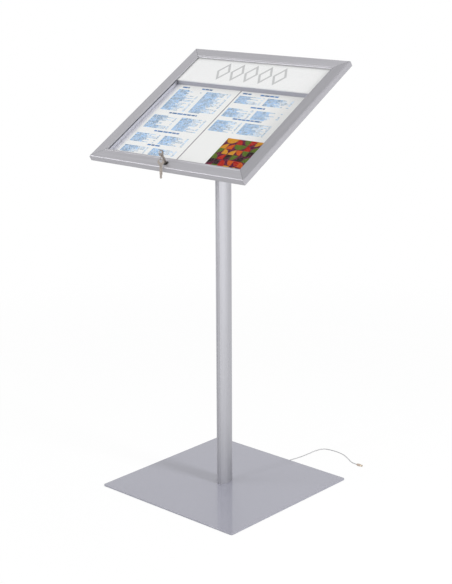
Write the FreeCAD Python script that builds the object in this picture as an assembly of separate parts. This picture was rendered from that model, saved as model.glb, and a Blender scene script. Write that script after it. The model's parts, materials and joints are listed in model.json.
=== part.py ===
import FreeCAD, Part
import math
import os

# Floor menu stand: a square steel base, an oval extruded column and a tilted
# A4 x 2 display case whose glazed door is hinged along its top edge and locked
# at the bottom. Lengths are in millimetres. X is to the right as a guest reads
# the menu, Y is to the back, Z is up. The origin is on the floor under the
# middle of the base.

Vector = FreeCAD.Vector

# Base plate
base_size = 460.0
base_thickness = 4.0
base_corner_radius = 6.0
base_edge_radius = 0.8
pad_diameter = 30.0
pad_height = 1.0
pad_inset = 45.0

# Column
column_width = 25.0
column_depth = 48.0
column_end_width = 12.0
column_wall = 2.4
column_end_wall = 4.8
groove_width = 4.0
groove_depth = 2.2
block_height = 60.0
spigot_length = 60.0
block_clearance = 0.15

# Screws that hold the column on the base
base_screw_radius = 3.0
base_screw_head_radius = 6.0
base_screw_head_height = 3.0
base_screw_length = 25.0
base_screw_end_gap = 6.2
base_screw_lead_gap = 12.0
base_screw_socket_radius = 2.0
base_screw_socket_depth = 1.8
set_screw_radius = 2.0
set_screw_recess = 0.3
set_screw_rise = 20.0
set_screw_pitch = 24.0
thread_clearance = 0.05

# Display case and door, in the head's own frame: its origin is the middle of
# the door's front face, y runs up the slope and z comes out of the front.
head_tilt = 31.0
head_y = -20.0
head_z = 1007.0

rail_width = 36.0
rail_depth = 15.0
rail_body_width = 24.0
rail_wall = 1.8
rail_front_wall = 2.2
rail_edge_radius = 3.0
lip_bevel_width = 1.5
lip_bevel_drop = 1.2
rail_line_offset = 30.0
rail_line_width = 0.8
rail_line_depth = 0.4
corner_key_leg = 50.0
corner_key_clearance = 0.15
glass_thickness = 2.0
glass_clearance = 0.1
glass_edge_clearance = 0.4
bead_width = 5.0
bead_height = 2.5

back_plate_thickness = 2.0
case_inset = 6.0
wall_thickness = 1.5
wall_top_clearance = 0.4
side_rail_gap = 6.0
bottom_rail_gap = 2.0
top_rail_gap = 7.5
seal_width = 8.0
seal_clearance = 0.3

# Pages and header: the case and its door are sized round them
page_width = 210.0
page_height = 297.0
page_thickness = 0.3
page_gap = 1.5
page_side_margin = 15.75
page_bottom_margin = 3.0
page_top_gap = 0.5
page_board_thickness = 1.2
page_board_clearance = 0.5
page_ledge_width = 6.0
page_ledge_height = 1.0
apron_rise = 4.7
apron_foot_width = 15.0
apron_shelf_width = 9.0
header_height = 98.3
header_side_gap = 1.5
header_thickness = 3.0
header_gap = 0.3
top_ledge_foot_width = 16.0
top_ledge_shelf_width = 11.0

# Header lighting
light_end_gap = 20.0
light_board_width = 7.5
light_board_thickness = 1.2
light_lower_rise = 12.3
light_upper_drop = 27.0
light_chip_size = 5.0
light_chip_height = 1.2
light_chip_margin = 18.0
light_chips_per_board = 12
driver_length = 64.0
driver_gap = 3.5
driver_width = 25.0
driver_height = 7.6
jumper_radius = 0.5
jumper_spacing = 12.0

# Hinge along the top edge of the door
hinge_end_gap = 58.0
hinge_leaf_thickness = 1.0
hinge_leaf_gap = 0.6
hinge_leaf_width = 16.0
knuckle_radius = 2.5
knuckle_count = 9
knuckle_gap = 0.4
knuckle_clearance = 0.3
hinge_pin_radius = 1.3
hinge_pin_clearance = 0.05
stop_gap = 12.0
stop_width = 24.0
stop_reach = 6.0

# Rivets
rivet_radius = 1.6
rivet_head_radius = 3.2
rivet_head_height = 1.2
rivet_crown_radius = 1.9
rivet_clearance = 0.05
flush_rivet_head_radius = 2.4
side_rivet_margin = 38.0
across_rivet_margin = 31.5
hinge_rivet_margin = 20.0

# Head bracket, its screws and the cable duct behind the case
bracket_half_width = 60.0
bracket_bottom_y = -40.0
bracket_top_y = 70.0
bracket_thickness = 5.0
bracket_corner_radius = 8.0
bracket_screw_radius = 2.5
bracket_screw_head_radius = 4.5
bracket_screw_head_height = 3.0
bracket_screw_inset = 12.0
bracket_hole_clearance = 0.25
duct_half_width = 8.0
duct_depth = 7.4
duct_wall = 1.5
duct_flange = 9.0
duct_gap = 0.3
duct_end_margin = 9.0

# Lead
lead_radius = 1.2
lead_bore_radius = 4.0
lead_bore_wall = 2.2
lead_channel_width = 3.2
lead_channel_depth = 2.6
lead_exit_x = 33.6
lead_foot_bend = 9.0
lead_head_bend = 12.0
lead_entry_bend = 3.5
lead_entry_rise = 11.0
lead_entry_radius = 3.0
lead_back_gap = 1.8
lead_slot_width = 4.0
lead_slot_floor = 3.7
clip_length = 10.0
clip_width = 14.0
clip_thickness = 0.5
clip_count = 3

# Connector on the end of the lead
connector_radius = 3.5
connector_length = 10.5
connector_nose = 1.0
barrel_radius = 2.6
barrel_bore = 1.1
barrel_length = 6.0

# Lock, keys and ring
lock_rail_offset = 16.0
lock_radius = 5.5
lock_hole_clearance = 0.1
lock_flange_radius = 6.8
lock_flange_height = 1.0
lock_length = 9.4
lock_nut_flats = 12.0
lock_nut_height = 3.0
plug_radius = 4.0
plug_clearance = 0.05
plug_recess = 0.4
plug_overhang = 0.3
keyway_clearance = 0.1
cam_thickness = 1.5
cam_reach = 15.5
cam_width = 8.0
cam_hub_radius = 5.0
cam_slot_clearance = 0.5
plug_tail_radius = 2.0
cam_screw_head_radius = 3.0
cam_screw_head_height = 1.6
cam_screw_radius = 1.0
cam_screw_length = 2.0

key_thickness = 1.5
key_blade_width = 6.0
key_blade_depth = 9.4
key_shaft_width = 7.0
key_shoulder_gap = 0.5
key_bow_radius = 8.0
key_hole_radius = 3.8
key_hole_margin = 1.6
key_hole_height = 33.6
ring_radius = 8.7
ring_wire_radius = 0.6
ring_turn = 52.0
ring_drop = 1.0
spare_seat_gap = 0.3

# Free lead on the floor behind the base: the points of its route after the
# exit, as x, y and height of its middle
lead_drop = [
    (39.8, 269.5, 1.2),
    (42.3, 303.0, 1.2),
    (42.5, 337.0, 1.2),
    (50.0, 367.0, 1.2),
    (85.3, 372.7, 1.2),
    (120.0, 368.4, 1.2),
    (152.0, 349.5, 1.2),
    (178.0, 330.6, 3.0),
    (195.9, 330.6, 3.6),
]
lead_first_run = 14.0
lead_bend_share = 0.45

# Sizes that follow from the ones above
plate_bottom = pad_height
plate_top = pad_height + base_thickness
half_base = base_size / 2.0
core_half_depth = column_depth / 2.0 - column_end_wall
lead_axis_y = core_half_depth - lead_bore_radius - lead_bore_wall
base_screw_front_y = base_screw_end_gap - core_half_depth
base_screw_rear_y = lead_axis_y - base_screw_lead_gap
wall_half_width = page_gap / 2.0 + page_width + page_side_margin
half_width = wall_half_width + wall_thickness + side_rail_gap + rail_body_width
head_width = 2.0 * half_width
inner_height = page_bottom_margin + page_height + page_top_gap + apron_rise + header_height
rail_gaps = bottom_rail_gap + top_rail_gap
head_height = inner_height + rail_gaps + 2.0 * (wall_thickness + rail_body_width)
half_height = head_height / 2.0
body_half_width = half_width - rail_body_width
body_half_height = half_height - rail_body_width

rail_back = -rail_depth
pin_z = rail_back - hinge_leaf_thickness - hinge_leaf_gap / 2.0
pin_y = half_height + knuckle_radius + knuckle_clearance
plate_front = pin_z - hinge_leaf_gap / 2.0 - hinge_leaf_thickness
plate_back = plate_front - back_plate_thickness
case_half_width = half_width - case_inset
case_half_height = half_height - case_inset
hinge_half_length = half_width - hinge_end_gap
stop_inner_x = hinge_half_length + stop_gap
stop_outer_x = stop_inner_x + stop_width

wall_bottom_y = -body_half_height + bottom_rail_gap + wall_thickness
page_bottom_y = wall_bottom_y + page_bottom_margin
page_top_y = page_bottom_y + page_height
apron_foot_y = page_top_y + page_top_gap
header_bottom_y = apron_foot_y + apron_rise
header_top_y = header_bottom_y + header_height
header_half_width = wall_half_width - header_side_gap
light_half_length = header_half_width - light_end_gap
light_chip_pitch = 2.0 * (light_half_length - light_chip_margin) / (light_chips_per_board - 1)
light_lower_y = header_bottom_y + light_lower_rise
light_upper_y = header_top_y - light_upper_drop
driver_bottom_y = light_lower_y + light_board_width + driver_gap
lead_entry_y = driver_bottom_y + lead_entry_rise
side_rivet_pitch = (half_height - side_rivet_margin) / 2.0
across_rivet_pitch = (wall_half_width - across_rivet_margin) / 2.0
hinge_rivet_pitch = (hinge_half_length - hinge_rivet_margin) / 2.5

glass_front = -rail_front_wall - glass_clearance
glass_back = glass_front - glass_thickness
bead_back = glass_back - bead_height
wall_top = bead_back - wall_top_clearance
flange_top = plate_front + wall_thickness
page_board_top = plate_front + page_board_thickness
page_front = page_board_top + page_thickness
header_front = glass_back - header_gap
header_back = header_front - header_thickness
shelf_back = header_back - wall_thickness
bracket_back = plate_back - bracket_thickness
lead_level = plate_back - lead_back_gap
lead_floor_level = plate_bottom + lead_channel_depth / 2.0

lock_y = -half_height + lock_rail_offset
lock_face = lock_flange_height
plug_front = lock_face - plug_recess
cam_front = -lock_length - plug_overhang
cam_back = cam_front - cam_thickness
key_blade_tip = plug_front - key_blade_depth
key_bow_offset = key_bow_radius - key_hole_margin - key_hole_radius
tilt = math.radians(head_tilt)

head_placement = FreeCAD.Placement(
    Vector(0, head_y, head_z), FreeCAD.Rotation(Vector(1, 0, 0), head_tilt)
)


def box(x0, x1, y0, y1, z0, z1):
    """Rectangular block between the given limits."""
    return Part.makeBox(x1 - x0, y1 - y0, z1 - z0, Vector(x0, y0, z0))


def rod(radius, start, end):
    """Round bar between two points."""
    along = end.sub(start)
    return Part.makeCylinder(radius, along.Length, start, along)


def upright(radius, x, y, z0, z1):
    """Round bar parallel to z."""
    return Part.makeCylinder(radius, z1 - z0, Vector(x, y, z0), Vector(0, 0, 1))


def cone(radius0, radius1, x, y, z0, z1):
    """Cone parallel to z with the radius at each end."""
    return Part.makeCone(radius0, radius1, z1 - z0, Vector(x, y, z0), Vector(0, 0, 1))


def prism(points, along):
    """Closed polygon swept along a straight vector."""
    wire = Part.makePolygon(points + [points[0]])
    return Part.Face(wire).extrude(along)


def profile_along_x(points, x0, x1):
    """Closed polygon of (y, z) pairs swept from x0 to x1."""
    corners = [Vector(x0, y, z) for y, z in points]
    return prism(corners, Vector(x1 - x0, 0, 0))


def rounded_plate(x0, x1, y0, y1, z0, z1, radius):
    """Rectangular plate with its four upright edges rounded."""
    plate = box(x0, x1, y0, y1, z0, z1)
    edges = [e for e in plate.Edges if abs(e.tangentAt(e.FirstParameter).z) > 0.99]
    return plate.makeFillet(radius, edges)


def hexagon(flats, x, y, z0, z1):
    """Hexagonal prism with two flats facing y."""
    radius = flats / math.sqrt(3.0)
    corners = []
    for step in range(6):
        angle = math.radians(60.0 * step)
        corners.append(Vector(x + radius * math.cos(angle), y + radius * math.sin(angle), z0))
    return prism(corners, Vector(0, 0, z1 - z0))


def fuse(shapes):
    """One clean solid from touching or overlapping solids."""
    if len(shapes) == 1:
        return shapes[0]
    return shapes[0].multiFuse(shapes[1:]).removeSplitter()


def cut(shape, tools):
    """Shape with every tool taken out of it."""
    return shape.cut(Part.makeCompound(tools))


def mirrored(shape):
    """Copy on the other side of the plane x = 0."""
    return shape.mirror(Vector(0, 0, 0), Vector(1, 0, 0))


def in_head(shape):
    """Copy moved from the head's own frame into the stand's frame."""
    moved = shape.copy()
    moved.Placement = head_placement.multiply(moved.Placement)
    return moved


def head_point(x, y, z):
    """Point of the head's own frame in the stand's frame."""
    return head_placement.multVec(Vector(x, y, z))


def write(node, shapes):
    """Save the solids of one node and print its size."""
    shape = shapes[0] if len(shapes) == 1 else Part.makeCompound(shapes)
    shape.exportStep("parts/" + node + ".step")
    extent = shape.BoundBox
    print("%-20s solids %3d valid %s volume %10.1f  x %7.1f %7.1f  y %7.1f %7.1f  z %7.1f %7.1f" % (
        node, len(shape.Solids), shape.isValid(), shape.Volume,
        extent.XMin, extent.XMax, extent.YMin, extent.YMax, extent.ZMin, extent.ZMax))


def tube_route(points, bends, radius):
    """Round tube along straight runs joined by tangent arcs.

    Each inner point has its own bend radius. The solid is built run by run, so
    its volume is compared with the section times the length of the middle line.
    """
    edges = []
    length = 0.0
    start = points[0]
    for index in range(1, len(points)):
        here = points[index]
        if index == len(points) - 1:
            edges.append(Part.makeLine(start, here))
            length += here.sub(start).Length
            break
        into = here.sub(points[index - 1])
        into.normalize()
        out = points[index + 1].sub(here)
        out.normalize()
        turn = into.getAngle(out)
        bend = bends[index - 1]
        reach = bend * math.tan(turn / 2.0)
        arc_start = here.sub(into * reach)
        arc_end = here.add(out * reach)
        inward = out.sub(into)
        inward.normalize()
        middle = here.add(inward * (bend / math.cos(turn / 2.0) - bend))
        edges.append(Part.makeLine(start, arc_start))
        edges.append(Part.Arc(arc_start, middle, arc_end).toShape())
        length += arc_start.sub(start).Length + bend * turn
        start = arc_end
    wire = Part.Wire(edges)
    first = points[1].sub(points[0])
    circle = Part.Wire([Part.makeCircle(radius, points[0], first)])
    tube = wire.makePipeShell([circle], True, False)
    print("   tube length %.1f volume ratio %.5f" % (
        length, tube.Volume / (math.pi * radius * radius * length)))
    return tube


def column_half_width(y):
    """Half width of the column's outside at a distance y from its middle."""
    bulge = (column_width - column_end_width) / 2.0
    half_depth = column_depth / 2.0
    arc_radius = (half_depth * half_depth + bulge * bulge) / (2.0 * bulge)
    return column_width / 2.0 - arc_radius + math.sqrt(arc_radius * arc_radius - y * y)


def column_section(half_depth, end_half_width, half_width_middle, z):
    """Flat oval face: two straight ends joined by two shallow arcs."""
    right_front = Vector(end_half_width, -half_depth, z)
    right_back = Vector(end_half_width, half_depth, z)
    left_back = Vector(-end_half_width, half_depth, z)
    left_front = Vector(-end_half_width, -half_depth, z)
    right_arc = Part.Arc(right_front, Vector(half_width_middle, 0, z), right_back)
    left_arc = Part.Arc(left_back, Vector(-half_width_middle, 0, z), left_front)
    edges = [
        right_arc.toShape(),
        Part.makeLine(right_back, left_back),
        left_arc.toShape(),
        Part.makeLine(left_front, right_front),
    ]
    return Part.Face(Part.Wire(edges))


def column_core(inset, z0, z1):
    """Solid that fills the inside of the column less an inset all round."""
    half_depth = core_half_depth - inset
    end_half = column_half_width(half_depth) - column_wall - inset
    middle = column_width / 2.0 - column_wall - inset
    return column_section(half_depth, end_half, middle, z0).extrude(Vector(0, 0, z1 - z0))


def below_case():
    """Large block on the column's side of the bracket's rear face."""
    reach = head_z + base_size
    return in_head(box(-half_base, half_base, -reach, reach, bracket_back - reach, bracket_back))


# Base with its pads
base_plate = rounded_plate(
    -half_base, half_base, -half_base, half_base, plate_bottom, plate_top, base_corner_radius
)
top_edges = [e for e in base_plate.Edges if abs(e.BoundBox.ZMin - plate_top) < 1e-6]
base_plate = base_plate.makeFillet(base_edge_radius, top_edges)

pad_reach = half_base - pad_inset
pad_places = [(x, y) for x in (-pad_reach, pad_reach) for y in (-pad_reach, pad_reach)]
base_pads = [upright(pad_diameter / 2.0, x, y, 0.0, pad_height) for x, y in pad_places]

# Direction of the lead's run below the base, from the column to the back edge
lead_run = Vector(lead_exit_x, half_base - lead_axis_y, 0)
lead_run_length = lead_run.Length
lead_run.normalize()
lead_angle = math.degrees(math.atan2(lead_run.y, lead_run.x))


def along_lead(near, far, width, z0, z1):
    """Block along the lead's run, measured from the column's lead bore."""
    block = box(near, far, -width / 2.0, width / 2.0, z0, z1)
    block.rotate(Vector(0, 0, 0), Vector(0, 0, 1), lead_angle)
    block.translate(Vector(0, lead_axis_y, 0))
    return block


lead_slot_near = -lead_channel_width / 2.0
lead_slot_far = lead_foot_bend - lead_radius / 2.0
base_screw_places = [base_screw_front_y, base_screw_rear_y]
base_holes = [
    along_lead(0.0, lead_run_length + half_base, lead_channel_width, 0.0, plate_bottom + lead_channel_depth),
    along_lead(lead_slot_near, lead_slot_far, lead_channel_width, 0.0, plate_top + pad_height),
]
base_screws = []
block_screw_holes = []
for y in base_screw_places:
    neck = plate_bottom + base_screw_head_height
    tip = plate_bottom + base_screw_length
    hole_radius = base_screw_radius + thread_clearance
    head_cone = cone(base_screw_head_radius, base_screw_radius, 0.0, y, plate_bottom, neck)
    hole_cone = cone(
        base_screw_head_radius + thread_clearance, hole_radius, 0.0, y, plate_bottom, neck
    )
    base_holes.append(fuse([hole_cone, upright(hole_radius, 0.0, y, neck, plate_top + pad_height)]))
    screw = fuse([head_cone, upright(base_screw_radius, 0.0, y, neck, tip)])
    socket = hexagon(
        base_screw_socket_radius * math.sqrt(3.0), 0.0, y,
        plate_bottom - pad_height, plate_bottom + base_screw_socket_depth,
    )
    base_screws.append(screw.cut(socket))
    block_screw_holes.append(upright(hole_radius, 0.0, y, plate_bottom, tip + thread_clearance))
base_plate = cut(base_plate, base_holes)

# Column, the block in its foot and the bracket in its head
column_top = head_z
column_outer = column_section(
    column_depth / 2.0, column_end_width / 2.0, column_width / 2.0, plate_top
).extrude(Vector(0, 0, column_top - plate_top))
groove_half = groove_width / 2.0
groove_floor = column_depth / 2.0 - groove_depth
grooves = [
    box(-groove_half, groove_half, -column_depth, -groove_floor, plate_top, column_top),
    box(-groove_half, groove_half, groove_floor, column_depth, plate_top, column_top),
]
column_inside = column_core(0.0, plate_top, column_top)
case_side = below_case()
column = cut(column_outer, grooves + [column_inside]).common(case_side)
crown_offset = column_depth / 2.0 - head_y
column_crown = head_z + (bracket_back + math.sin(tilt) * crown_offset) / math.cos(tilt)
spigot_bottom = column_crown - spigot_length

set_screws = []
set_screw_holes = []
block_screw_z = [plate_top + set_screw_rise, plate_top + set_screw_rise + set_screw_pitch]
spigot_screw_z = [spigot_bottom + set_screw_pitch / 4.0, spigot_bottom + set_screw_pitch]
for z in block_screw_z + spigot_screw_z:
    tip = Vector(0, core_half_depth - block_clearance, z)
    head_end = Vector(0, groove_floor - set_screw_recess, z)
    set_screws.append(rod(set_screw_radius, tip, head_end))
    set_screw_holes.append(
        rod(set_screw_radius + thread_clearance, Vector(0, core_half_depth / 2.0, z), Vector(0, column_depth, z))
    )
column = cut(column, set_screw_holes)

foot_block = column_core(block_clearance, plate_top, plate_top + block_height)
foot_block = cut(foot_block, block_screw_holes + [
    upright(lead_bore_radius, 0.0, lead_axis_y, plate_top, plate_top + block_height),
    along_lead(
        lead_slot_near, lead_foot_bend / 2.0, lead_channel_width, plate_bottom, plate_top + lead_foot_bend
    ),
])

# Where the lead's upright run meets its run up the back of the case
lead_head_offset = lead_axis_y - head_y
lead_corner_rise = (lead_level + math.sin(tilt) * lead_head_offset) / math.cos(tilt)
lead_corner_y = math.cos(tilt) * lead_head_offset + math.sin(tilt) * lead_corner_rise
lead_corner_z = head_z + lead_corner_rise

bracket_plate = rounded_plate(
    -bracket_half_width, bracket_half_width, bracket_bottom_y, bracket_top_y,
    bracket_back, plate_back, bracket_corner_radius,
)
spigot = column_core(block_clearance, spigot_bottom, column_top).common(case_side)
bracket_screw_x = bracket_half_width - bracket_screw_inset
bracket_screw_places = [
    (x, y)
    for x in (-bracket_screw_x, bracket_screw_x)
    for y in (bracket_bottom_y + bracket_screw_inset, bracket_top_y - bracket_screw_inset)
]
bracket_holes = []
bracket_screws = []
for x, y in bracket_screw_places:
    bracket_holes.append(
        upright(bracket_screw_radius + bracket_hole_clearance, x, y, bracket_back, plate_back)
    )
    bracket_screws.append(in_head(fuse([
        upright(bracket_screw_head_radius, x, y, bracket_back - bracket_screw_head_height, bracket_back),
        upright(bracket_screw_radius, x, y, bracket_back, plate_front),
    ])))
bracket_slot = box(
    -lead_slot_width / 2.0, lead_slot_width / 2.0, lead_corner_y - lead_bore_radius,
    bracket_top_y + bracket_corner_radius, plate_back - lead_slot_floor, plate_back,
)
lead_bore = upright(
    lead_bore_radius, 0.0, lead_axis_y, spigot_bottom - spigot_length, column_top + spigot_length
)
head_bracket = fuse([in_head(cut(bracket_plate, bracket_holes + [bracket_slot])), spigot])
head_bracket = cut(head_bracket, [lead_bore, in_head(bracket_slot)])

# Rivet places on the back plate, as x, y and the face at which the shank ends
side_flange_middle = (wall_half_width + wall_thickness + case_half_width) / 2.0
bottom_flange_middle = (wall_bottom_y - wall_thickness - case_half_height) / 2.0
apron_rivet_y = apron_foot_y + apron_foot_width * 2.0 / 3.0
ledge_rivet_y = header_top_y + wall_thickness - top_ledge_foot_width * 2.0 / 3.0
hinge_leaf_bottom = half_height - hinge_leaf_width
hinge_rivet_y = half_height - hinge_leaf_width * 2.0 / 3.0
side_rivet_y = [step * side_rivet_pitch for step in (-2, -1, 0, 1, 2)]
across_rivet_x = [step * across_rivet_pitch for step in (-2, -1, 1, 2)]
hinge_rivet_x = [step * hinge_rivet_pitch for step in (-2.5, -1.5, -0.5, 0.5, 1.5, 2.5)]
duct_top_y = lead_entry_y + duct_end_margin
duct_bottom_y = bracket_top_y + duct_gap
duct_rivet_x = duct_half_width + duct_flange / 2.0
duct_rivet_y = [duct_bottom_y + duct_flange, duct_top_y - duct_flange]
side_rivets = [(s * side_flange_middle, y) for s in (-1.0, 1.0) for y in side_rivet_y]
bottom_rivets = [(x, bottom_flange_middle) for x in across_rivet_x]
apron_rivets = [(x, apron_rivet_y) for x in across_rivet_x]
ledge_rivets = [(x, ledge_rivet_y) for x in across_rivet_x]
hinge_rivets = [(x, hinge_rivet_y) for x in hinge_rivet_x]
duct_rivets = [(s * duct_rivet_x, y) for s in (-1.0, 1.0) for y in duct_rivet_y]


def rivet_holes(places, z0, z1):
    """Clearance holes for rivet shanks."""
    return [upright(rivet_radius + rivet_clearance, x, y, z0, z1) for x, y in places]


def rivet(x, y, seat, shank_end):
    """Blind rivet with a shallow domed head behind its seat."""
    head = cone(rivet_crown_radius, rivet_head_radius, x, y, seat - rivet_head_height, seat)
    return fuse([head, upright(rivet_radius, x, y, seat, shank_end)])


case_rivets = []
for x, y in side_rivets + bottom_rivets + apron_rivets + ledge_rivets:
    case_rivets.append(in_head(rivet(x, y, plate_back, flange_top)))
for x, y in hinge_rivets:
    case_rivets.append(in_head(rivet(x, y, plate_back, plate_front + hinge_leaf_thickness)))
duct_flange_back = plate_back - duct_wall
for x, y in duct_rivets:
    case_rivets.append(in_head(rivet(x, y, duct_flange_back, plate_front)))

# Back plate with the two tongues that stop the open door
back_plate = box(
    -case_half_width, case_half_width, -case_half_height, case_half_height, plate_back, plate_front
)
stop_right = box(
    stop_inner_x, stop_outer_x, case_half_height - case_inset, pin_y + stop_reach, plate_back, plate_front
)
back_plate = fuse([back_plate, stop_right, mirrored(stop_right)])
all_rivets = side_rivets + bottom_rivets + apron_rivets + ledge_rivets + hinge_rivets + duct_rivets
plate_holes = rivet_holes(all_rivets, plate_back, plate_front)
plate_holes.append(upright(lead_entry_radius, 0.0, lead_entry_y, plate_back, plate_front))
for x, y in bracket_screw_places:
    plate_holes.append(
        upright(bracket_screw_radius + thread_clearance, x, y, plate_back, plate_front)
    )
back_plate = cut(back_plate, plate_holes)

# Walls of the case: folded angles round the pages
wall_bottom_outer = wall_bottom_y - wall_thickness
ledge_outer_y = header_top_y + wall_thickness
wall_outer_x = wall_half_width + wall_thickness
wall_right = fuse([
    box(wall_half_width, wall_outer_x, wall_bottom_outer, ledge_outer_y, plate_front, wall_top),
    box(wall_half_width, case_half_width, wall_bottom_outer, ledge_outer_y, plate_front, flange_top),
])
wall_right = cut(wall_right, rivet_holes(side_rivets, plate_front, flange_top))
wall_left = mirrored(wall_right)
wall_bottom = fuse([
    box(-wall_half_width, wall_half_width, wall_bottom_outer, wall_bottom_y, plate_front, wall_top),
    box(-wall_half_width, wall_half_width, -case_half_height, wall_bottom_y, plate_front, flange_top),
])
cam_sweep = cam_reach + cam_slot_clearance
cam_half_width = cam_width / 2.0 + cam_slot_clearance
cam_slot = box(
    -cam_sweep, cam_half_width, lock_y + plug_radius, wall_bottom_y + wall_thickness,
    cam_back - cam_slot_clearance, cam_front + cam_slot_clearance,
)
wall_bottom = cut(wall_bottom, rivet_holes(bottom_rivets, plate_front, flange_top) + [cam_slot])

seal_front = rail_back - seal_clearance
seal_side_x = case_half_width - seal_width
door_seal = [
    box(seal_side_x, case_half_width, wall_bottom_outer, ledge_outer_y, flange_top, seal_front),
    box(-case_half_width, -seal_side_x, wall_bottom_outer, ledge_outer_y, flange_top, seal_front),
    box(
        -wall_half_width, wall_half_width, -case_half_height, seal_width - case_half_height,
        flange_top, seal_front,
    ),
]

# Pages on their board
page_half_gap = page_gap / 2.0
board_half_width = wall_half_width - page_board_clearance
page_board = box(
    -board_half_width, board_half_width, wall_bottom_y + page_board_clearance,
    apron_foot_y - page_board_clearance, plate_front, page_board_top,
)
page_right = box(
    page_half_gap, page_half_gap + page_width, page_bottom_y, page_top_y, page_board_top, page_front
)
page_left = mirrored(page_right)
page_ledge = box(
    -board_half_width, board_half_width, wall_bottom_y, wall_bottom_y + page_ledge_width,
    page_front, page_front + page_ledge_height,
)

# Header: apron below it, ledge above it and the opal insert on their shelves
apron_slope = (header_bottom_y - apron_foot_y) / (header_back - plate_front)
apron_offset = wall_thickness * math.sqrt(1.0 + apron_slope * apron_slope)


def apron_inner_y(z):
    """Inner face of the apron's sloping wall at a depth z."""
    return apron_foot_y + apron_offset + apron_slope * (z - plate_front)


header_apron = profile_along_x([
    (apron_foot_y + apron_foot_width, plate_front),
    (apron_foot_y, plate_front),
    (header_bottom_y, header_back),
    (header_bottom_y + apron_shelf_width, header_back),
    (header_bottom_y + apron_shelf_width, shelf_back),
    (apron_inner_y(shelf_back), shelf_back),
    (apron_inner_y(flange_top), flange_top),
    (apron_foot_y + apron_foot_width, flange_top),
], -board_half_width, board_half_width)
header_apron = cut(header_apron, rivet_holes(apron_rivets, plate_front, flange_top))
header_ledge = profile_along_x([
    (ledge_outer_y - top_ledge_foot_width, plate_front),
    (ledge_outer_y, plate_front),
    (ledge_outer_y, header_back),
    (ledge_outer_y - top_ledge_shelf_width, header_back),
    (ledge_outer_y - top_ledge_shelf_width, shelf_back),
    (header_top_y, shelf_back),
    (header_top_y, flange_top),
    (ledge_outer_y - top_ledge_foot_width, flange_top),
], -board_half_width, board_half_width)
header_ledge = cut(header_ledge, rivet_holes(ledge_rivets, plate_front, flange_top))
header_insert = box(
    -header_half_width, header_half_width, header_bottom_y, header_top_y, header_back, header_front
)

# Lighting behind the header
light_board_top = plate_front + light_board_thickness
light_boards = []
light_chips = []
for y in (light_lower_y, light_upper_y):
    light_boards.append(
        box(-light_half_length, light_half_length, y, y + light_board_width, plate_front, light_board_top)
    )
    for step in range(light_chips_per_board):
        x = light_chip_pitch * (step - (light_chips_per_board - 1) / 2.0)
        chip_y = y + light_board_width / 2.0
        half_chip = light_chip_size / 2.0
        light_chips.append(box(
            x - half_chip, x + half_chip, chip_y - half_chip, chip_y + half_chip,
            light_board_top, light_board_top + light_chip_height,
        ))
driver_top_y = driver_bottom_y + driver_width
light_driver = box(
    -driver_length / 2.0, driver_length / 2.0, driver_bottom_y, driver_top_y,
    plate_front, plate_front + driver_height,
)
light_jumpers = []
jumper_z = plate_front + light_board_thickness / 2.0
for x in (-jumper_spacing / 2.0, jumper_spacing / 2.0):
    light_jumpers.append(rod(
        jumper_radius, Vector(x, light_lower_y + light_board_width, jumper_z),
        Vector(x, driver_bottom_y, jumper_z)))
    light_jumpers.append(rod(
        jumper_radius, Vector(x, driver_top_y, jumper_z), Vector(x, light_upper_y, jumper_z)))

# Duct that covers the lead on the back of the case
duct_flange_x = duct_half_width + duct_flange
duct_back = plate_back - duct_depth
cable_duct = fuse([
    box(-duct_half_width, duct_half_width, duct_bottom_y, duct_top_y, duct_back, plate_back),
    box(-duct_flange_x, duct_flange_x, duct_bottom_y, duct_top_y, duct_flange_back, plate_back),
])
cable_duct = cut(cable_duct, rivet_holes(duct_rivets, duct_flange_back, plate_back) + [
    box(duct_wall - duct_half_width, duct_half_width - duct_wall, duct_bottom_y - duct_wall,
        duct_top_y - duct_wall, duct_back + duct_wall, plate_back),
])

# Hinge: leaves with alternate knuckles on one pin
knuckle_pitch = 2.0 * hinge_half_length / knuckle_count
leaf_edge = pin_y - knuckle_radius - knuckle_clearance


def hinge_leaf(z0, z1, first):
    """Leaf between two depths with every second knuckle, counted from first."""
    pieces = [box(-hinge_half_length, hinge_half_length, hinge_leaf_bottom, leaf_edge, z0, z1)]
    for step in range(first, knuckle_count, 2):
        x0 = -hinge_half_length + step * knuckle_pitch + knuckle_gap / 2.0
        x1 = x0 + knuckle_pitch - knuckle_gap
        pieces.append(box(x0, x1, leaf_edge - knuckle_radius, pin_y, z0, z1))
        pieces.append(rod(knuckle_radius, Vector(x0, pin_y, pin_z), Vector(x1, pin_y, pin_z)))
    bore = rod(
        hinge_pin_radius + hinge_pin_clearance,
        Vector(-head_width, pin_y, pin_z), Vector(head_width, pin_y, pin_z),
    )
    return fuse(pieces).cut(bore)


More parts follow.
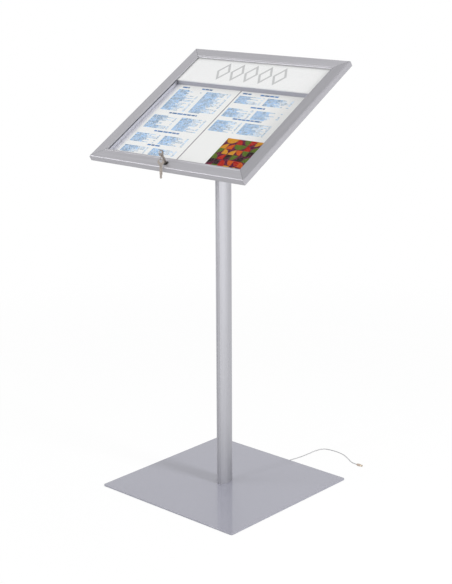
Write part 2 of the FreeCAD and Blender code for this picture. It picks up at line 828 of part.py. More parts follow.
case_leaf_front = plate_front + hinge_leaf_thickness
door_leaf_back = rail_back - hinge_leaf_thickness
hinge_case_leaf = hinge_leaf(plate_front, case_leaf_front, 0)
hinge_case_leaf = cut(hinge_case_leaf, rivet_holes(hinge_rivets, plate_front, case_leaf_front))
hinge_door_leaf = hinge_leaf(door_leaf_back, rail_back, 1)
hinge_pin = rod(
    hinge_pin_radius, Vector(-hinge_half_length, pin_y, pin_z), Vector(hinge_half_length, pin_y, pin_z)
)
door_rivet_x = [step * hinge_rivet_pitch for step in (-2, -1, 1, 2)]
hinge_door_rivets = []
door_leaf_holes = []
door_rail_holes = []
for x in door_rivet_x:
    shank_top = rail_back + rail_wall
    hinge_door_rivets.append(in_head(fuse([
        cone(flush_rivet_head_radius, rivet_radius, x, hinge_rivet_y, door_leaf_back, rail_back),
        upright(rivet_radius, x, hinge_rivet_y, rail_back, shank_top),
    ])))
    door_leaf_holes.append(cone(
        flush_rivet_head_radius + rivet_clearance, rivet_radius + rivet_clearance,
        x, hinge_rivet_y, door_leaf_back, rail_back,
    ))
    door_rail_holes.append(
        upright(rivet_radius + rivet_clearance, x, hinge_rivet_y, rail_back, shank_top)
    )
hinge_door_leaf = cut(hinge_door_leaf, door_leaf_holes)


# Door frame: four mitred hollow rails
def rail(length):
    """Rail along x with its outer edge on y = 0, mitred at both ends."""
    half = length / 2.0
    x = -half
    bend = rail_edge_radius
    diagonal = bend * (1.0 - math.sqrt(0.5))
    line0 = rail_line_offset - rail_line_width / 2.0
    line1 = rail_line_offset + rail_line_width / 2.0
    corner_start = Vector(x, 0, -bend)
    corner_end = Vector(x, bend, 0)
    corner = Part.Arc(corner_start, Vector(x, diagonal, -diagonal), corner_end).toShape()
    outline = [
        corner_end,
        Vector(x, line0, 0),
        Vector(x, rail_line_offset, -rail_line_depth),
        Vector(x, line1, 0),
        Vector(x, rail_width - lip_bevel_width, 0),
        Vector(x, rail_width, -lip_bevel_drop),
        Vector(x, rail_width, -rail_front_wall),
        Vector(x, rail_body_width, -rail_front_wall),
        Vector(x, rail_body_width, rail_back),
        Vector(x, 0, rail_back),
        corner_start,
    ]
    edges = [corner] + [Part.makeLine(a, b) for a, b in zip(outline[:-1], outline[1:])]
    bar = Part.Face(Part.Wire(edges)).extrude(Vector(length, 0, 0))
    bar = bar.cut(box(
        -half, half, rail_wall, rail_body_width - rail_wall, rail_back + rail_wall, -rail_front_wall
    ))
    mitre = prism([
        Vector(-half, 0, rail_back),
        Vector(half, 0, rail_back),
        Vector(half - rail_width, rail_width, rail_back),
        Vector(rail_width - half, rail_width, rail_back),
    ], Vector(0, 0, rail_depth))
    return bar.common(mitre)


def placed(shape, turn, x, y):
    """Copy turned about z and then moved in x and y."""
    moved = shape.copy()
    moved.rotate(Vector(0, 0, 0), Vector(0, 0, 1), turn)
    moved.translate(Vector(x, y, 0))
    return moved


rail_bottom = placed(rail(head_width), 0.0, 0.0, -half_height)
rail_top = placed(rail(head_width), 180.0, 0.0, half_height)
rail_left = placed(rail(head_height), -90.0, -half_width, 0.0)
rail_right = placed(rail(head_height), 90.0, half_width, 0.0)
rail_top = cut(rail_top, door_rail_holes)
rail_slot = box(
    -cam_sweep, cam_half_width, lock_y + plug_radius, -body_half_height + rail_wall,
    cam_back - cam_slot_clearance, cam_front + cam_slot_clearance,
)
lock_hole = upright(lock_radius + lock_hole_clearance, 0.0, lock_y, -rail_front_wall, lock_face)
rail_bottom = cut(rail_bottom, [rail_slot, lock_hole])

key_inset = rail_wall + corner_key_clearance
key_far = rail_body_width - rail_wall - corner_key_clearance
key_back = rail_back + rail_wall + corner_key_clearance
key_front = -rail_front_wall - corner_key_clearance
corner_left_bottom = fuse([
    box(key_inset - half_width, corner_key_leg - half_width, key_inset - half_height, key_far - half_height,
        key_back, key_front),
    box(key_inset - half_width, key_far - half_width, key_inset - half_height, corner_key_leg - half_height,
        key_back, key_front),
])
corner_left_top = corner_left_bottom.mirror(Vector(0, 0, 0), Vector(0, 1, 0))
corner_keys = [
    corner_left_bottom,
    corner_left_top,
    mirrored(corner_left_bottom),
    mirrored(corner_left_top),
]

# Door glazing and the strips behind it
glass_half_width = body_half_width - glass_edge_clearance
glass_half_height = body_half_height - glass_edge_clearance
door_glass = box(
    -glass_half_width, glass_half_width, -glass_half_height, glass_half_height, glass_back, glass_front
)
bead_short = body_half_height - bead_width
glass_beads = [
    box(-body_half_width, body_half_width, -body_half_height, -bead_short, bead_back, glass_back),
    box(-body_half_width, body_half_width, bead_short, body_half_height, bead_back, glass_back),
    box(-body_half_width, bead_width - body_half_width, -bead_short, bead_short, bead_back, glass_back),
    box(body_half_width - bead_width, body_half_width, -bead_short, bead_short, bead_back, glass_back),
]

# Cam lock in the bottom rail, shown unlocked
lock_bore = upright(plug_radius + plug_clearance, 0.0, lock_y, -lock_length, lock_face)
lock_body = fuse([
    upright(lock_flange_radius, 0.0, lock_y, 0.0, lock_face),
    upright(lock_radius, 0.0, lock_y, -lock_length, 0.0),
]).cut(lock_bore)
lock_nut = hexagon(
    lock_nut_flats, 0.0, lock_y, -rail_front_wall - lock_nut_height, -rail_front_wall
).cut(upright(lock_radius + thread_clearance, 0.0, lock_y, -lock_length, 0.0))
keyway_half = key_thickness / 2.0 + keyway_clearance
keyway_reach = key_blade_width / 2.0 + keyway_clearance
lock_plug = fuse([
    upright(plug_radius, 0.0, lock_y, cam_front, plug_front),
    upright(plug_tail_radius, 0.0, lock_y, cam_back, cam_front),
])
lock_plug = cut(lock_plug, [
    box(-keyway_half, keyway_half, lock_y - keyway_reach, lock_y + keyway_reach,
        key_blade_tip - keyway_clearance, plug_front),
    upright(cam_screw_radius + thread_clearance, 0.0, lock_y, cam_back, cam_back + cam_screw_length),
])
cam_end_radius = cam_width / 2.0
cam_end_x = cam_end_radius - cam_reach
lock_cam = fuse([
    upright(cam_hub_radius, 0.0, lock_y, cam_back, cam_front),
    box(cam_end_x, 0.0, lock_y - cam_end_radius, lock_y + cam_end_radius, cam_back, cam_front),
    upright(cam_end_radius, cam_end_x, lock_y, cam_back, cam_front),
]).cut(upright(plug_tail_radius + thread_clearance, 0.0, lock_y, cam_back, cam_front))
cam_screw = fuse([
    upright(cam_screw_head_radius, 0.0, lock_y, cam_back - cam_screw_head_height, cam_back),
    upright(cam_screw_radius, 0.0, lock_y, cam_back, cam_back + cam_screw_length - thread_clearance),
])


def flat_key():
    """Key with its ring hole at the origin, its blade down z and its flat across x."""
    half = key_thickness / 2.0
    bow_z = -key_bow_offset
    tip_z = key_blade_tip - key_hole_height
    shoulder_z = plug_front + key_shoulder_gap - key_hole_height
    blade_half = key_blade_width / 2.0
    shaft_half = key_shaft_width / 2.0
    bow = rod(key_bow_radius, Vector(-half, 0, bow_z), Vector(half, 0, bow_z))
    shaft = box(-half, half, -shaft_half, shaft_half, shoulder_z, bow_z)
    blade = box(-half, half, -blade_half, blade_half, tip_z, shoulder_z)
    hole = rod(key_hole_radius, Vector(-key_thickness, 0, 0), Vector(key_thickness, 0, 0))
    return fuse([bow, shaft, blade]).cut(hole)


key = flat_key()
key.translate(Vector(0, lock_y, key_hole_height))

# Ring through the key's bow, with the spare key hanging from it
ring_angle = math.radians(ring_turn)
ring_tangent = Vector(math.cos(ring_angle), -math.sin(ring_angle), 0)
down = Vector(0, 0, -1)
ring_top = head_point(0.0, lock_y, key_hole_height).add(down * ring_drop)
ring_centre = ring_top.add(down * ring_radius)
ring_bottom = ring_top.add(down * (2.0 * ring_radius))
key_ring = Part.makeTorus(ring_radius, ring_wire_radius, ring_centre, ring_tangent.cross(down))
spare_key = flat_key()
spare_key.rotate(Vector(0, 0, 0), Vector(0, 0, 1), -ring_turn)
spare_key.translate(ring_bottom.add(down * (key_hole_radius - ring_wire_radius - spare_seat_gap)))

# Lead held by the stand: below the base, up the column and along the duct
lead_exit = Vector(lead_exit_x, half_base, lead_floor_level)
lead_foot = Vector(0, lead_axis_y, lead_floor_level)
inner_lead = tube_route(
    [
        lead_exit,
        lead_foot,
        Vector(0, lead_axis_y, lead_corner_z),
        head_point(0.0, lead_entry_y, lead_level),
        head_point(0.0, lead_entry_y, plate_front),
    ],
    [lead_foot_bend, lead_head_bend, lead_entry_bend],
    lead_radius,
)
lead_clips = []
clip_spacing = lead_run_length / (clip_count + 1)
for step in range(1, clip_count + 1):
    middle = step * clip_spacing
    lead_clips.append(along_lead(
        middle - clip_length / 2.0, middle + clip_length / 2.0, clip_width,
        plate_bottom - clip_thickness, plate_bottom,
    ))

# Free lead from the back edge of the base to its connector
lead_points = [lead_exit, lead_exit.add(lead_run * lead_first_run)]
lead_points += [Vector(x, y, z) for x, y, z in lead_drop]
lead_bends = []
for index in range(1, len(lead_points) - 1):
    into = lead_points[index].sub(lead_points[index - 1])
    out = lead_points[index + 1].sub(lead_points[index])
    turn = into.getAngle(out)
    lead_bends.append(lead_bend_share * min(into.Length, out.Length) / math.tan(turn / 2.0))
print("   free lead bend radii " + " ".join("%.0f" % bend for bend in lead_bends))
power_lead = tube_route(lead_points, lead_bends, lead_radius)
lead_end = lead_points[-1]
lead_end_run = lead_end.sub(lead_points[-2])
lead_end_run.normalize()


def along_end(distance):
    """Point on the connector's middle line."""
    return lead_end.add(lead_end_run * distance)


sleeve_end = connector_length - connector_nose
lead_connector = fuse([
    rod(connector_radius, along_end(0.0), along_end(sleeve_end)),
    Part.makeCone(connector_radius, connector_radius - connector_nose / 2.0, connector_nose,
                  along_end(sleeve_end), lead_end_run),
])
barrel_end = connector_length + barrel_length
bore_start = connector_length + barrel_length / 4.0
connector_barrel = rod(barrel_radius, along_end(connector_length), along_end(barrel_end))
connector_barrel = connector_barrel.cut(
    rod(barrel_bore, along_end(bore_start), along_end(barrel_end + barrel_length))
)

os.makedirs("parts", exist_ok=True)

write("base_plate", [base_plate])
write("base_pads", base_pads)
write("base_screws", base_screws)
write("foot_block", [foot_block])
write("column", [column])
write("set_screws", set_screws)
write("head_bracket", [head_bracket])
write("bracket_screws", bracket_screws)
write("inner_lead", [inner_lead])
write("lead_clips", lead_clips)
write("power_lead", [power_lead])
write("lead_connector", [lead_connector])
write("connector_barrel", [connector_barrel])

write("back_plate", [in_head(back_plate)])
write("wall_left", [in_head(wall_left)])
write("wall_right", [in_head(wall_right)])
write("wall_bottom", [in_head(wall_bottom)])
write("case_rivets", case_rivets)
write("door_seal", [in_head(strip) for strip in door_seal])
write("page_board", [in_head(page_board)])
write("page_left", [in_head(page_left)])
write("page_right", [in_head(page_right)])
write("page_ledge", [in_head(page_ledge)])
write("header_apron", [in_head(header_apron)])
write("header_ledge", [in_head(header_ledge)])
write("header_insert", [in_head(header_insert)])
write("light_boards", [in_head(board) for board in light_boards])
write("light_chips", [in_head(chip) for chip in light_chips])
write("light_driver", [in_head(light_driver)])
write("light_jumpers", [in_head(jumper) for jumper in light_jumpers])
write("cable_duct", [in_head(cable_duct)])
write("hinge_case_leaf", [in_head(hinge_case_leaf)])
write("hinge_pin", [in_head(hinge_pin)])

write("hinge_door_leaf", [in_head(hinge_door_leaf)])
write("hinge_door_rivets", hinge_door_rivets)
write("rail_top", [in_head(rail_top)])
write("rail_bottom", [in_head(rail_bottom)])
write("rail_left", [in_head(rail_left)])
write("rail_right", [in_head(rail_right)])
write("corner_keys", [in_head(piece) for piece in corner_keys])
write("door_glass", [in_head(door_glass)])
write("glass_beads", [in_head(strip) for strip in glass_beads])
write("lock_body", [in_head(lock_body)])
write("lock_nut", [in_head(lock_nut)])

write("lock_plug", [in_head(lock_plug)])
write("lock_cam", [in_head(lock_cam)])
write("cam_screw", [in_head(cam_screw)])
write("key", [in_head(key)])

write("key_ring", [key_ring])
write("spare_key", [spare_key])

hinge_point = head_point(0.0, pin_y, pin_z)
lock_point = head_point(0.0, lock_y, 0.0)
front = head_placement.Rotation.multVec(Vector(0, 0, 1))
joint_points = (
    ("door hinge", hinge_point), ("lock", lock_point), ("ring top", ring_top), ("ring bottom", ring_bottom)
)
for name, point in joint_points:
    print("   %-12s %.4f %.4f %.4f" % (name, point.x, point.y, point.z))
print("   front normal %.6f %.6f %.6f" % (front.x, front.y, front.z))
print("   ring tangent %.6f %.6f %.6f" % (ring_tangent.x, ring_tangent.y, ring_tangent.z))
print("   lead points " + " ".join("(%.2f,%.2f,%.2f)" % (p.x, p.y, p.z) for p in lead_points))
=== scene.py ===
import json
import math

import bpy
import numpy as np
from mathutils import Matrix


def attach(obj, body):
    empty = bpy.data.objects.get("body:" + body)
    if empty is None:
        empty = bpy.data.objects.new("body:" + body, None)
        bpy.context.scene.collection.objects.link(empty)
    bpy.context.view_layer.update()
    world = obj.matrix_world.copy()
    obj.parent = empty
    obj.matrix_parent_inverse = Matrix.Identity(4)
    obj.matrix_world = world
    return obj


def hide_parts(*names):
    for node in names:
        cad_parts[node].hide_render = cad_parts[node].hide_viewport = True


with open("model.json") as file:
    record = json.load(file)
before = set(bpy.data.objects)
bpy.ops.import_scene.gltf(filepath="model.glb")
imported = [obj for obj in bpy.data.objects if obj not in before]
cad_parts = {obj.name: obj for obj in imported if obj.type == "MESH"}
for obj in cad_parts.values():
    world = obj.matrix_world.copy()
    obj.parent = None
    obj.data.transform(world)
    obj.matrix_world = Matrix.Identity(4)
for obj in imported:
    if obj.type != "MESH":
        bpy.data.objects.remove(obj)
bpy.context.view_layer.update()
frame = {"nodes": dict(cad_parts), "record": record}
nodes = frame["nodes"]
scene = bpy.context.scene
scene.view_settings.view_transform = "Standard"

# Camera

camera_place = (2.26474, -2.50432, 1.46466)
camera_turn = math.radians(42.029)
camera_dip = math.radians(15.441)
camera_roll = math.radians(-0.245)
camera_lens = 83.6243
camera_sensor = 36.0
camera_reach = 60.0

camera_data = bpy.data.cameras.new("camera")
camera_data.sensor_width = camera_sensor
camera_data.lens = camera_lens
camera_data.clip_end = camera_reach
camera = bpy.data.objects.new("camera", camera_data)
camera.location = camera_place
camera_pose = (
    Matrix.Rotation(camera_turn, 3, "Z")
    @ Matrix.Rotation(math.pi / 2.0 - camera_dip, 3, "X")
    @ Matrix.Rotation(camera_roll, 3, "Z")
)
camera.rotation_euler = camera_pose.to_euler()
scene.collection.objects.link(camera)
scene.camera = camera

# Sizes in millimetres, in the head's own frame: x to the right, y up the slope
# and z out of the front, from the middle of the door's front face

millimetre = 0.001
head_tilt = math.radians(31.0)
head_origin = np.array([0.0, -20.0, 1007.0])
half_width = 258.0
half_height = 232.0
rail_width = 36.0
page_front = -16.1
header_front = -4.6
lock_y = -216.0
ink_thickness = 0.05

slope_direction = np.array([0.0, math.cos(head_tilt), math.sin(head_tilt)])
front_direction = np.array([0.0, -math.sin(head_tilt), math.cos(head_tilt)])
across_direction = np.array([1.0, 0.0, 0.0])


def in_head(x, y, z):
    """Points of the head's own frame in the stand's frame.

    point = origin + x * across + y * slope + z * front
    """
    x, y, z = np.broadcast_arrays(x, y, z)
    return (
        head_origin
        + x[..., None] * across_direction
        + y[..., None] * slope_direction
        + z[..., None] * front_direction
    )


# Finishes

noise_low = 0.3
noise_high = 0.7


def linear(red, green, blue):
    """Screen levels from 0 to 255 as linear light: a 2.4 power above the dark end's straight line."""
    share = np.array([red, green, blue]) / 255.0
    light = np.where(share <= 0.04045, share / 12.92, ((share + 0.055) / 1.055) ** 2.4)
    return (*light.tolist(), 1.0)


def start_finish(name):
    """New node material with its tree and shader."""
    material = bpy.data.materials.new(name)
    material.use_nodes = True
    tree = material.node_tree
    return material, tree, tree.nodes["Principled BSDF"]


def object_place(tree, stretch, turn=0.0):
    """Object coordinates turned about x and then stretched, so a grain can lie along a tilted piece."""
    place = tree.nodes.new("ShaderNodeTexCoord").outputs["Object"]
    if turn:
        turner = tree.nodes.new("ShaderNodeMapping")
        turner.inputs["Rotation"].default_value = (turn, 0.0, 0.0)
        tree.links.new(place, turner.inputs["Vector"])
        place = turner.outputs["Vector"]
    stretcher = tree.nodes.new("ShaderNodeMapping")
    stretcher.inputs["Scale"].default_value = stretch
    tree.links.new(place, stretcher.inputs["Vector"])
    return stretcher.outputs["Vector"]


def cloud(tree, place, detail=3.0):
    """Soft noise from 0 to 1 at the given place."""
    noise = tree.nodes.new("ShaderNodeTexNoise")
    noise.inputs["Scale"].default_value = 1.0
    noise.inputs["Detail"].default_value = detail
    tree.links.new(place, noise.inputs["Vector"])
    return noise.outputs[0]


def between(tree, value, low, high):
    """Noise brought between two limits."""
    span = tree.nodes.new("ShaderNodeMapRange")
    span.inputs["From Min"].default_value = noise_low
    span.inputs["From Max"].default_value = noise_high
    span.inputs["To Min"].default_value = low
    span.inputs["To Max"].default_value = high
    tree.links.new(value, span.inputs["Value"])
    return span.outputs["Result"]


def tinted(tree, value, dark, light):
    """Colour that runs from dark to light with the noise."""
    ramp = tree.nodes.new("ShaderNodeValToRGB")
    ramp.color_ramp.elements[0].position = noise_low
    ramp.color_ramp.elements[0].color = dark
    ramp.color_ramp.elements[1].position = noise_high
    ramp.color_ramp.elements[1].color = light
    tree.links.new(value, ramp.inputs["Fac"])
    return ramp.outputs["Color"]


def combined(tree, operation, one, two):
    """One number made from two, of which the second may be a plain value."""
    node = tree.nodes.new("ShaderNodeMath")
    node.operation = operation
    tree.links.new(one, node.inputs[0])
    if isinstance(two, float):
        node.inputs[1].default_value = two
    else:
        tree.links.new(two, node.inputs[1])
    return node.outputs["Value"]


def mixed(tree, share, one, two):
    """Two shaders mixed: all of the first where the share is 0 and all of the second where it is 1."""
    mixer = tree.nodes.new("ShaderNodeMixShader")
    tree.links.new(share, mixer.inputs["Fac"])
    tree.links.new(one, mixer.inputs[1])
    tree.links.new(two, mixer.inputs[2])
    return mixer.outputs["Shader"]


def relief(tree, shader, value, strength, depth):
    """Fine bump on a shader's normal."""
    bump = tree.nodes.new("ShaderNodeBump")
    bump.inputs["Strength"].default_value = strength
    bump.inputs["Distance"].default_value = depth
    tree.links.new(value, bump.inputs["Height"])
    tree.links.new(bump.outputs["Normal"], shader.inputs["Normal"])


def grained(
    name, dark, light, rough, stretch, turn=0.0, metallic=0.0, bump=0.1, depth=0.0001, specular=0.5
):
    """Surface whose colour, roughness and bump follow one stretched noise."""
    material, tree, shader = start_finish(name)
    grain = cloud(tree, object_place(tree, stretch, turn))
    tree.links.new(tinted(tree, grain, dark, light), shader.inputs["Base Color"])
    tree.links.new(between(tree, grain, rough[0], rough[1]), shader.inputs["Roughness"])
    relief(tree, shader, grain, bump, depth)
    shader.inputs["Metallic"].default_value = metallic
    shader.inputs["Specular IOR Level"].default_value = specular
    return material


def gloss_paint():
    """Silver paint under a clear gloss coat, with fine flake in the colour."""
    material = grained(
        "silver_coat", linear(143, 143, 155), linear(157, 157, 169), (0.34, 0.44),
        (1800.0, 1800.0, 1800.0), metallic=0.1, bump=0.02, depth=0.00002, specular=0.3,
    )
    shader = material.node_tree.nodes["Principled BSDF"]
    shader.inputs["Coat Weight"].default_value = 0.85
    shader.inputs["Coat Roughness"].default_value = 0.04
    return material


def clear_sheet():
    """Clear glazing with faint smears in its gloss, which lets lamps through to what is behind it."""
    material, tree, shader = start_finish("clear_glazing")
    smear = cloud(tree, object_place(tree, (9.0, 30.0, 30.0), -head_tilt))
    tree.links.new(between(tree, smear, 0.0, 0.03), shader.inputs["Roughness"])
    shader.inputs["Base Color"].default_value = (0.985, 0.99, 0.99, 1.0)
    shader.inputs["Transmission Weight"].default_value = 1.0
    shader.inputs["IOR"].default_value = 1.06
    passing = tree.nodes.new("ShaderNodeBsdfTransparent")
    path = tree.nodes.new("ShaderNodeLightPath")
    sheet = mixed(
        tree, path.outputs["Is Shadow Ray"], shader.outputs["BSDF"], passing.outputs["BSDF"]
    )
    tree.links.new(sheet, tree.nodes["Material Output"].inputs["Surface"])
    return material


def printed_ink():
    """Ink in the colour that each printed shape carries, with a slight sheen that varies."""
    material, tree, shader = start_finish("printed_ink")
    ink = tree.nodes.new("ShaderNodeAttribute")
    ink.attribute_name = "ink"
    tree.links.new(ink.outputs["Color"], shader.inputs["Base Color"])
    fibre = cloud(tree, object_place(tree, (900.0, 900.0, 900.0)))
    tree.links.new(between(tree, fibre, 0.45, 0.6), shader.inputs["Roughness"])
    relief(tree, shader, fibre, 0.05, 0.00003)
    shader.inputs["Specular IOR Level"].default_value = 0.1
    return material


even = (700.0, 700.0, 700.0)
finishes = {
    "silver_coat": gloss_paint(),
    "black_rubber": grained("black_rubber", linear(26, 26, 28), linear(44, 44, 46), (0.7, 0.85), even),
    "steel": grained(
        "steel", linear(150, 150, 153), linear(182, 182, 185), (0.28, 0.42), (300.0, 300.0, 900.0),
        metallic=0.9,
    ),
    "block_metal": grained(
        "block_metal", linear(170, 170, 173), linear(190, 190, 193), (0.35, 0.45), (900.0, 900.0, 30.0),
        metallic=0.8,
    ),
    "column_metal": grained(
        "column_metal", linear(172, 172, 177), linear(184, 184, 189), (0.48, 0.56),
        (1600.0, 1600.0, 5.0), metallic=0.9, bump=0.04, specular=0.2,
    ),
    "bracket_coat": grained(
        "bracket_coat", linear(150, 150, 156), linear(168, 168, 174), (0.45, 0.6), even, metallic=0.2,
    ),
    "lead_jacket": grained(
        "lead_jacket", linear(164, 164, 166), linear(184, 184, 186), (0.5, 0.65), even
    ),
    "tan_plastic": grained(
        "tan_plastic", linear(176, 160, 148), linear(198, 182, 168), (0.4, 0.55), even
    ),
    "brass": grained(
        "brass", linear(182, 168, 148), linear(200, 186, 168), (0.25, 0.4), even, metallic=0.8
    ),
    "case_metal": grained(
        "case_metal", linear(190, 190, 199), linear(198, 198, 207), (0.45, 0.55), (1100.0, 6.0, 1100.0),
        turn=-head_tilt, metallic=0.1, bump=0.03,
    ),
    "page_board": grained(
        "page_board", linear(230, 230, 239), linear(238, 238, 246), (0.65, 0.8), (260.0, 260.0, 260.0)
    ),
    "page_paper": grained(
        "page_paper", linear(236, 236, 235), linear(242, 242, 241), (0.5, 0.65), (420.0, 420.0, 420.0),
        bump=0.05, specular=0.2,
    ),
    "opal_plastic": grained(
        "opal_plastic", linear(239, 239, 239), linear(244, 244, 244), (0.28, 0.38),
        (160.0, 160.0, 160.0), bump=0.03, specular=0.3,
    ),
    "circuit_board": grained(
        "circuit_board", linear(216, 216, 210), linear(232, 232, 226), (0.35, 0.5), even
    ),
    "light_chip": grained("light_chip", linear(236, 214, 120), linear(246, 230, 156), (0.2, 0.35), even),
    "driver_plastic": grained(
        "driver_plastic", linear(36, 36, 38), linear(54, 54, 56), (0.5, 0.7), even
    ),
    "frame_metal": grained(
        "frame_metal", linear(160, 159, 164), linear(180, 179, 184), (0.34, 0.44), (5.0, 1500.0, 1500.0),
        turn=-head_tilt, metallic=0.6, bump=0.06,
    ),
    "clear_glazing": clear_sheet(),
    "bead_plastic": grained("bead_plastic", linear(80, 80, 84), linear(98, 98, 102), (0.5, 0.65), even),
    "lock_chrome": grained(
        "lock_chrome", linear(52, 50, 50), linear(80, 78, 78), (0.1, 0.2), even, metallic=1.0, bump=0.03
    ),
    "key_metal": grained(
        "key_metal", linear(146, 138, 131), linear(184, 176, 169), (0.24, 0.38), (500.0, 500.0, 1500.0),
        metallic=0.9,
    ),
    "ring_wire": grained(
        "ring_wire", linear(150, 148, 146), linear(186, 184, 182), (0.15, 0.25), even, metallic=1.0
    ),
}
# Left rail: the frame metal with grain along the rail, coloured a little lighter as painted light
left_rail_painted_light_metal = grained(
    "left_rail_painted_light_metal", linear(162, 161, 166), linear(182, 181, 186), (0.34, 0.44),
    (1500.0, 5.0, 1500.0), turn=-head_tilt, metallic=0.6, bump=0.06,
)
# Right rail: the frame metal with grain along the rail, coloured darker than the other rails as painted
# shade
right_rail_painted_shade_metal = grained(
    "right_rail_painted_shade_metal", linear(148, 147, 152), linear(167, 166, 171), (0.42, 0.52),
    (1500.0, 5.0, 1500.0), turn=-head_tilt, metallic=0.3, bump=0.06, specular=0.3,
)
seam_shade = grained("seam_shade", linear(76, 76, 80), linear(96, 96, 100), (0.5, 0.6), even)
divider_shade = grained("divider_shade", linear(112, 106, 112), linear(134, 128, 134), (0.5, 0.6), even)
plug_shade = grained(
    "plug_shade", linear(22, 22, 24), linear(38, 38, 40), (0.25, 0.4), even, metallic=0.6
)
# Header apron: the case metal coloured darker as painted shade
apron_painted_shade_metal = grained(
    "apron_painted_shade_metal", linear(156, 156, 166), linear(166, 166, 176), (0.45, 0.55), (6.0, 1100.0, 1100.0),
    turn=-head_tilt, metallic=0.1, bump=0.03,
)
ink_finish = printed_ink()

for part in frame["record"]["subparts"]:
    mesh = nodes[part["node"]].data
    mesh.materials.clear()
    mesh.materials.append(finishes[part["material_slot"]])
nodes["rail_left"].data.materials[0] = left_rail_painted_light_metal
nodes["rail_right"].data.materials[0] = right_rail_painted_shade_metal
nodes["lock_plug"].data.materials[0] = plug_shade
nodes["header_apron"].data.materials[0] = apron_painted_shade_metal

# The glass stays out of the light that bounces between the pieces behind it
nodes["door_glass"].visible_diffuse = False
nodes["door_glass"].visible_glossy = False

# Makers of pieces


def grid_faces(rows, columns, close_rows=False):
    """Quads of a grid whose columns close on themselves, and its rows too where asked."""
    last = rows if close_rows else rows - 1
    row, column = np.meshgrid(np.arange(last), np.arange(columns), indexing="ij")
    next_row = (row + 1) % rows
    next_column = (column + 1) % columns
    quads = [
        row * columns + column,
        row * columns + next_column,
        next_row * columns + next_column,
        next_row * columns + column,
    ]
    return np.stack(quads, -1).reshape(-1, 4)


def end_caps(rows, columns):
    """Many-sided faces that close the first and last row of a grid."""
    first = list(range(columns))[::-1]
    last = list(range((rows - 1) * columns, rows * columns))
    return [first, last]


def encloses(points, faces):
    """Signed volume of a closed mesh: the sum over its faces, fanned from their first corner."""
    total = 0.0
    for face in faces:
        corners = points[face]
        fan = np.cross(corners[1:-1], corners[2:])
        total += float((fan @ corners[0]).sum())
    return total


def add_piece(name, points, faces, body, finish, replaced=(), smooth=None):
    """Closed mesh from points in millimetres, turned outwards, riding on a body."""
    points = np.asarray(points, float).reshape(-1, 3)
    faces = [list(face) for face in faces]
    if encloses(points, faces) < 0.0:
        faces = [face[::-1] for face in faces]
    mesh = bpy.data.meshes.new(name)
    mesh.from_pydata((points * millimetre).tolist(), [], faces)
    mesh.materials.append(finish)
    if smooth is not None:
        mesh.shade_smooth()
        mesh.set_sharp_from_angle(angle=math.radians(smooth))
    mesh.update()
    piece = bpy.data.objects.new(name, mesh)
    scene.collection.objects.link(piece)
    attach(piece, body)
    if replaced:
        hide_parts(*replaced)
    return piece


def side_directions(along):
    """Two unit directions square to a line and to each other."""
    along = np.asarray(along, float) / np.linalg.norm(along)
    helper = np.array([0.0, 0.0, 1.0]) if abs(along[2]) < 0.9 else np.array([1.0, 0.0, 0.0])
    side = np.cross(helper, along)
    side = side / np.linalg.norm(side)
    return along, side, np.cross(along, side)


def turned(profile, start, along, steps):
    """Profile of (radius, distance) pairs turned about a line.

    point = start + distance * along + radius * (cos angle * side + sin angle * other)
    """
    along, side, other = side_directions(along)
    radius, distance = np.asarray(profile, float).T
    angle = np.linspace(0.0, 2.0 * math.pi, steps, endpoint=False)
    spoke = np.cos(angle)[:, None] * side + np.sin(angle)[:, None] * other
    return start + distance[:, None, None] * along + radius[:, None, None] * spoke


# Free lead behind the base, on the points of its route

lead_route = [
    (0.03360, 0.23000, 0.00230),
    (0.03574, 0.24384, 0.00230),
    (0.03980, 0.26950, 0.00120),
    (0.04230, 0.30300, 0.00120),
    (0.04250, 0.33700, 0.00120),
    (0.05000, 0.36700, 0.00120),
    (0.08530, 0.37270, 0.00120),
    (0.12000, 0.36840, 0.00120),
    (0.15200, 0.34950, 0.00120),
    (0.17800, 0.33060, 0.00300),
    (0.19590, 0.33060, 0.00360),
]
lead_diameter = 0.0024
lead_end = np.array(lead_route[-1]) / millimetre
lead_end_run = np.array(lead_route[-1]) - np.array(lead_route[-2])

# Ribbed sleeve: radius and distance along the lead's last run
sleeve_sides = 24
sleeve_profile = [
    (1.25, -3.0), (1.5, -2.6), (1.7, 0.0), (3.1, 0.5), (3.5, 1.2), (3.5, 2.6), (3.1, 2.9),
    (3.1, 3.5), (3.5, 3.8), (3.5, 4.9), (3.1, 5.2), (3.1, 5.8), (3.5, 6.1), (3.5, 7.2),
    (3.1, 7.5), (3.1, 8.1), (3.5, 8.4), (3.5, 9.5), (3.3, 10.1), (3.0, 10.5),
]
sleeve_points = turned(sleeve_profile, lead_end, lead_end_run, sleeve_sides)
sleeve_rows = len(sleeve_profile)
lead_sleeve = add_piece(
    "lead_sleeve", sleeve_points,
    grid_faces(sleeve_rows, sleeve_sides).tolist() + end_caps(sleeve_rows, sleeve_sides),
    "stand", finishes["tan_plastic"], replaced=("lead_connector",), smooth=40.0,
)

lead_line = bpy.data.curves.new("free_lead", "CURVE")
lead_line.dimensions = "3D"
lead_line.bevel_depth = lead_diameter / 2.0
lead_line.bevel_resolution = 4
lead_line.use_fill_caps = True
lead_spline = lead_line.splines.new("NURBS")
lead_spline.points.add(len(lead_route) - 1)
lead_spline.points.foreach_set("co", [value for point in lead_route for value in (*point, 1.0)])
lead_spline.order_u = 3
lead_spline.use_endpoint_u = True
lead_spline.resolution_u = 10
lead_line.materials.append(finishes["lead_jacket"])
free_lead = bpy.data.objects.new("free_lead", lead_line)
scene.collection.objects.link(free_lead)
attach(free_lead, "stand")
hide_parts("power_lead")

# Column

column_half_depth = 24.0
column_half_width = 12.5
column_end_half = 6.0
column_foot = 5.0
bracket_back = -24.6
corner_ease = 0.5
corner_share = 0.6
groove_half = 2.0
groove_floor = 23.3
groove_ease = 0.3
side_points = 41
column_levels = 9


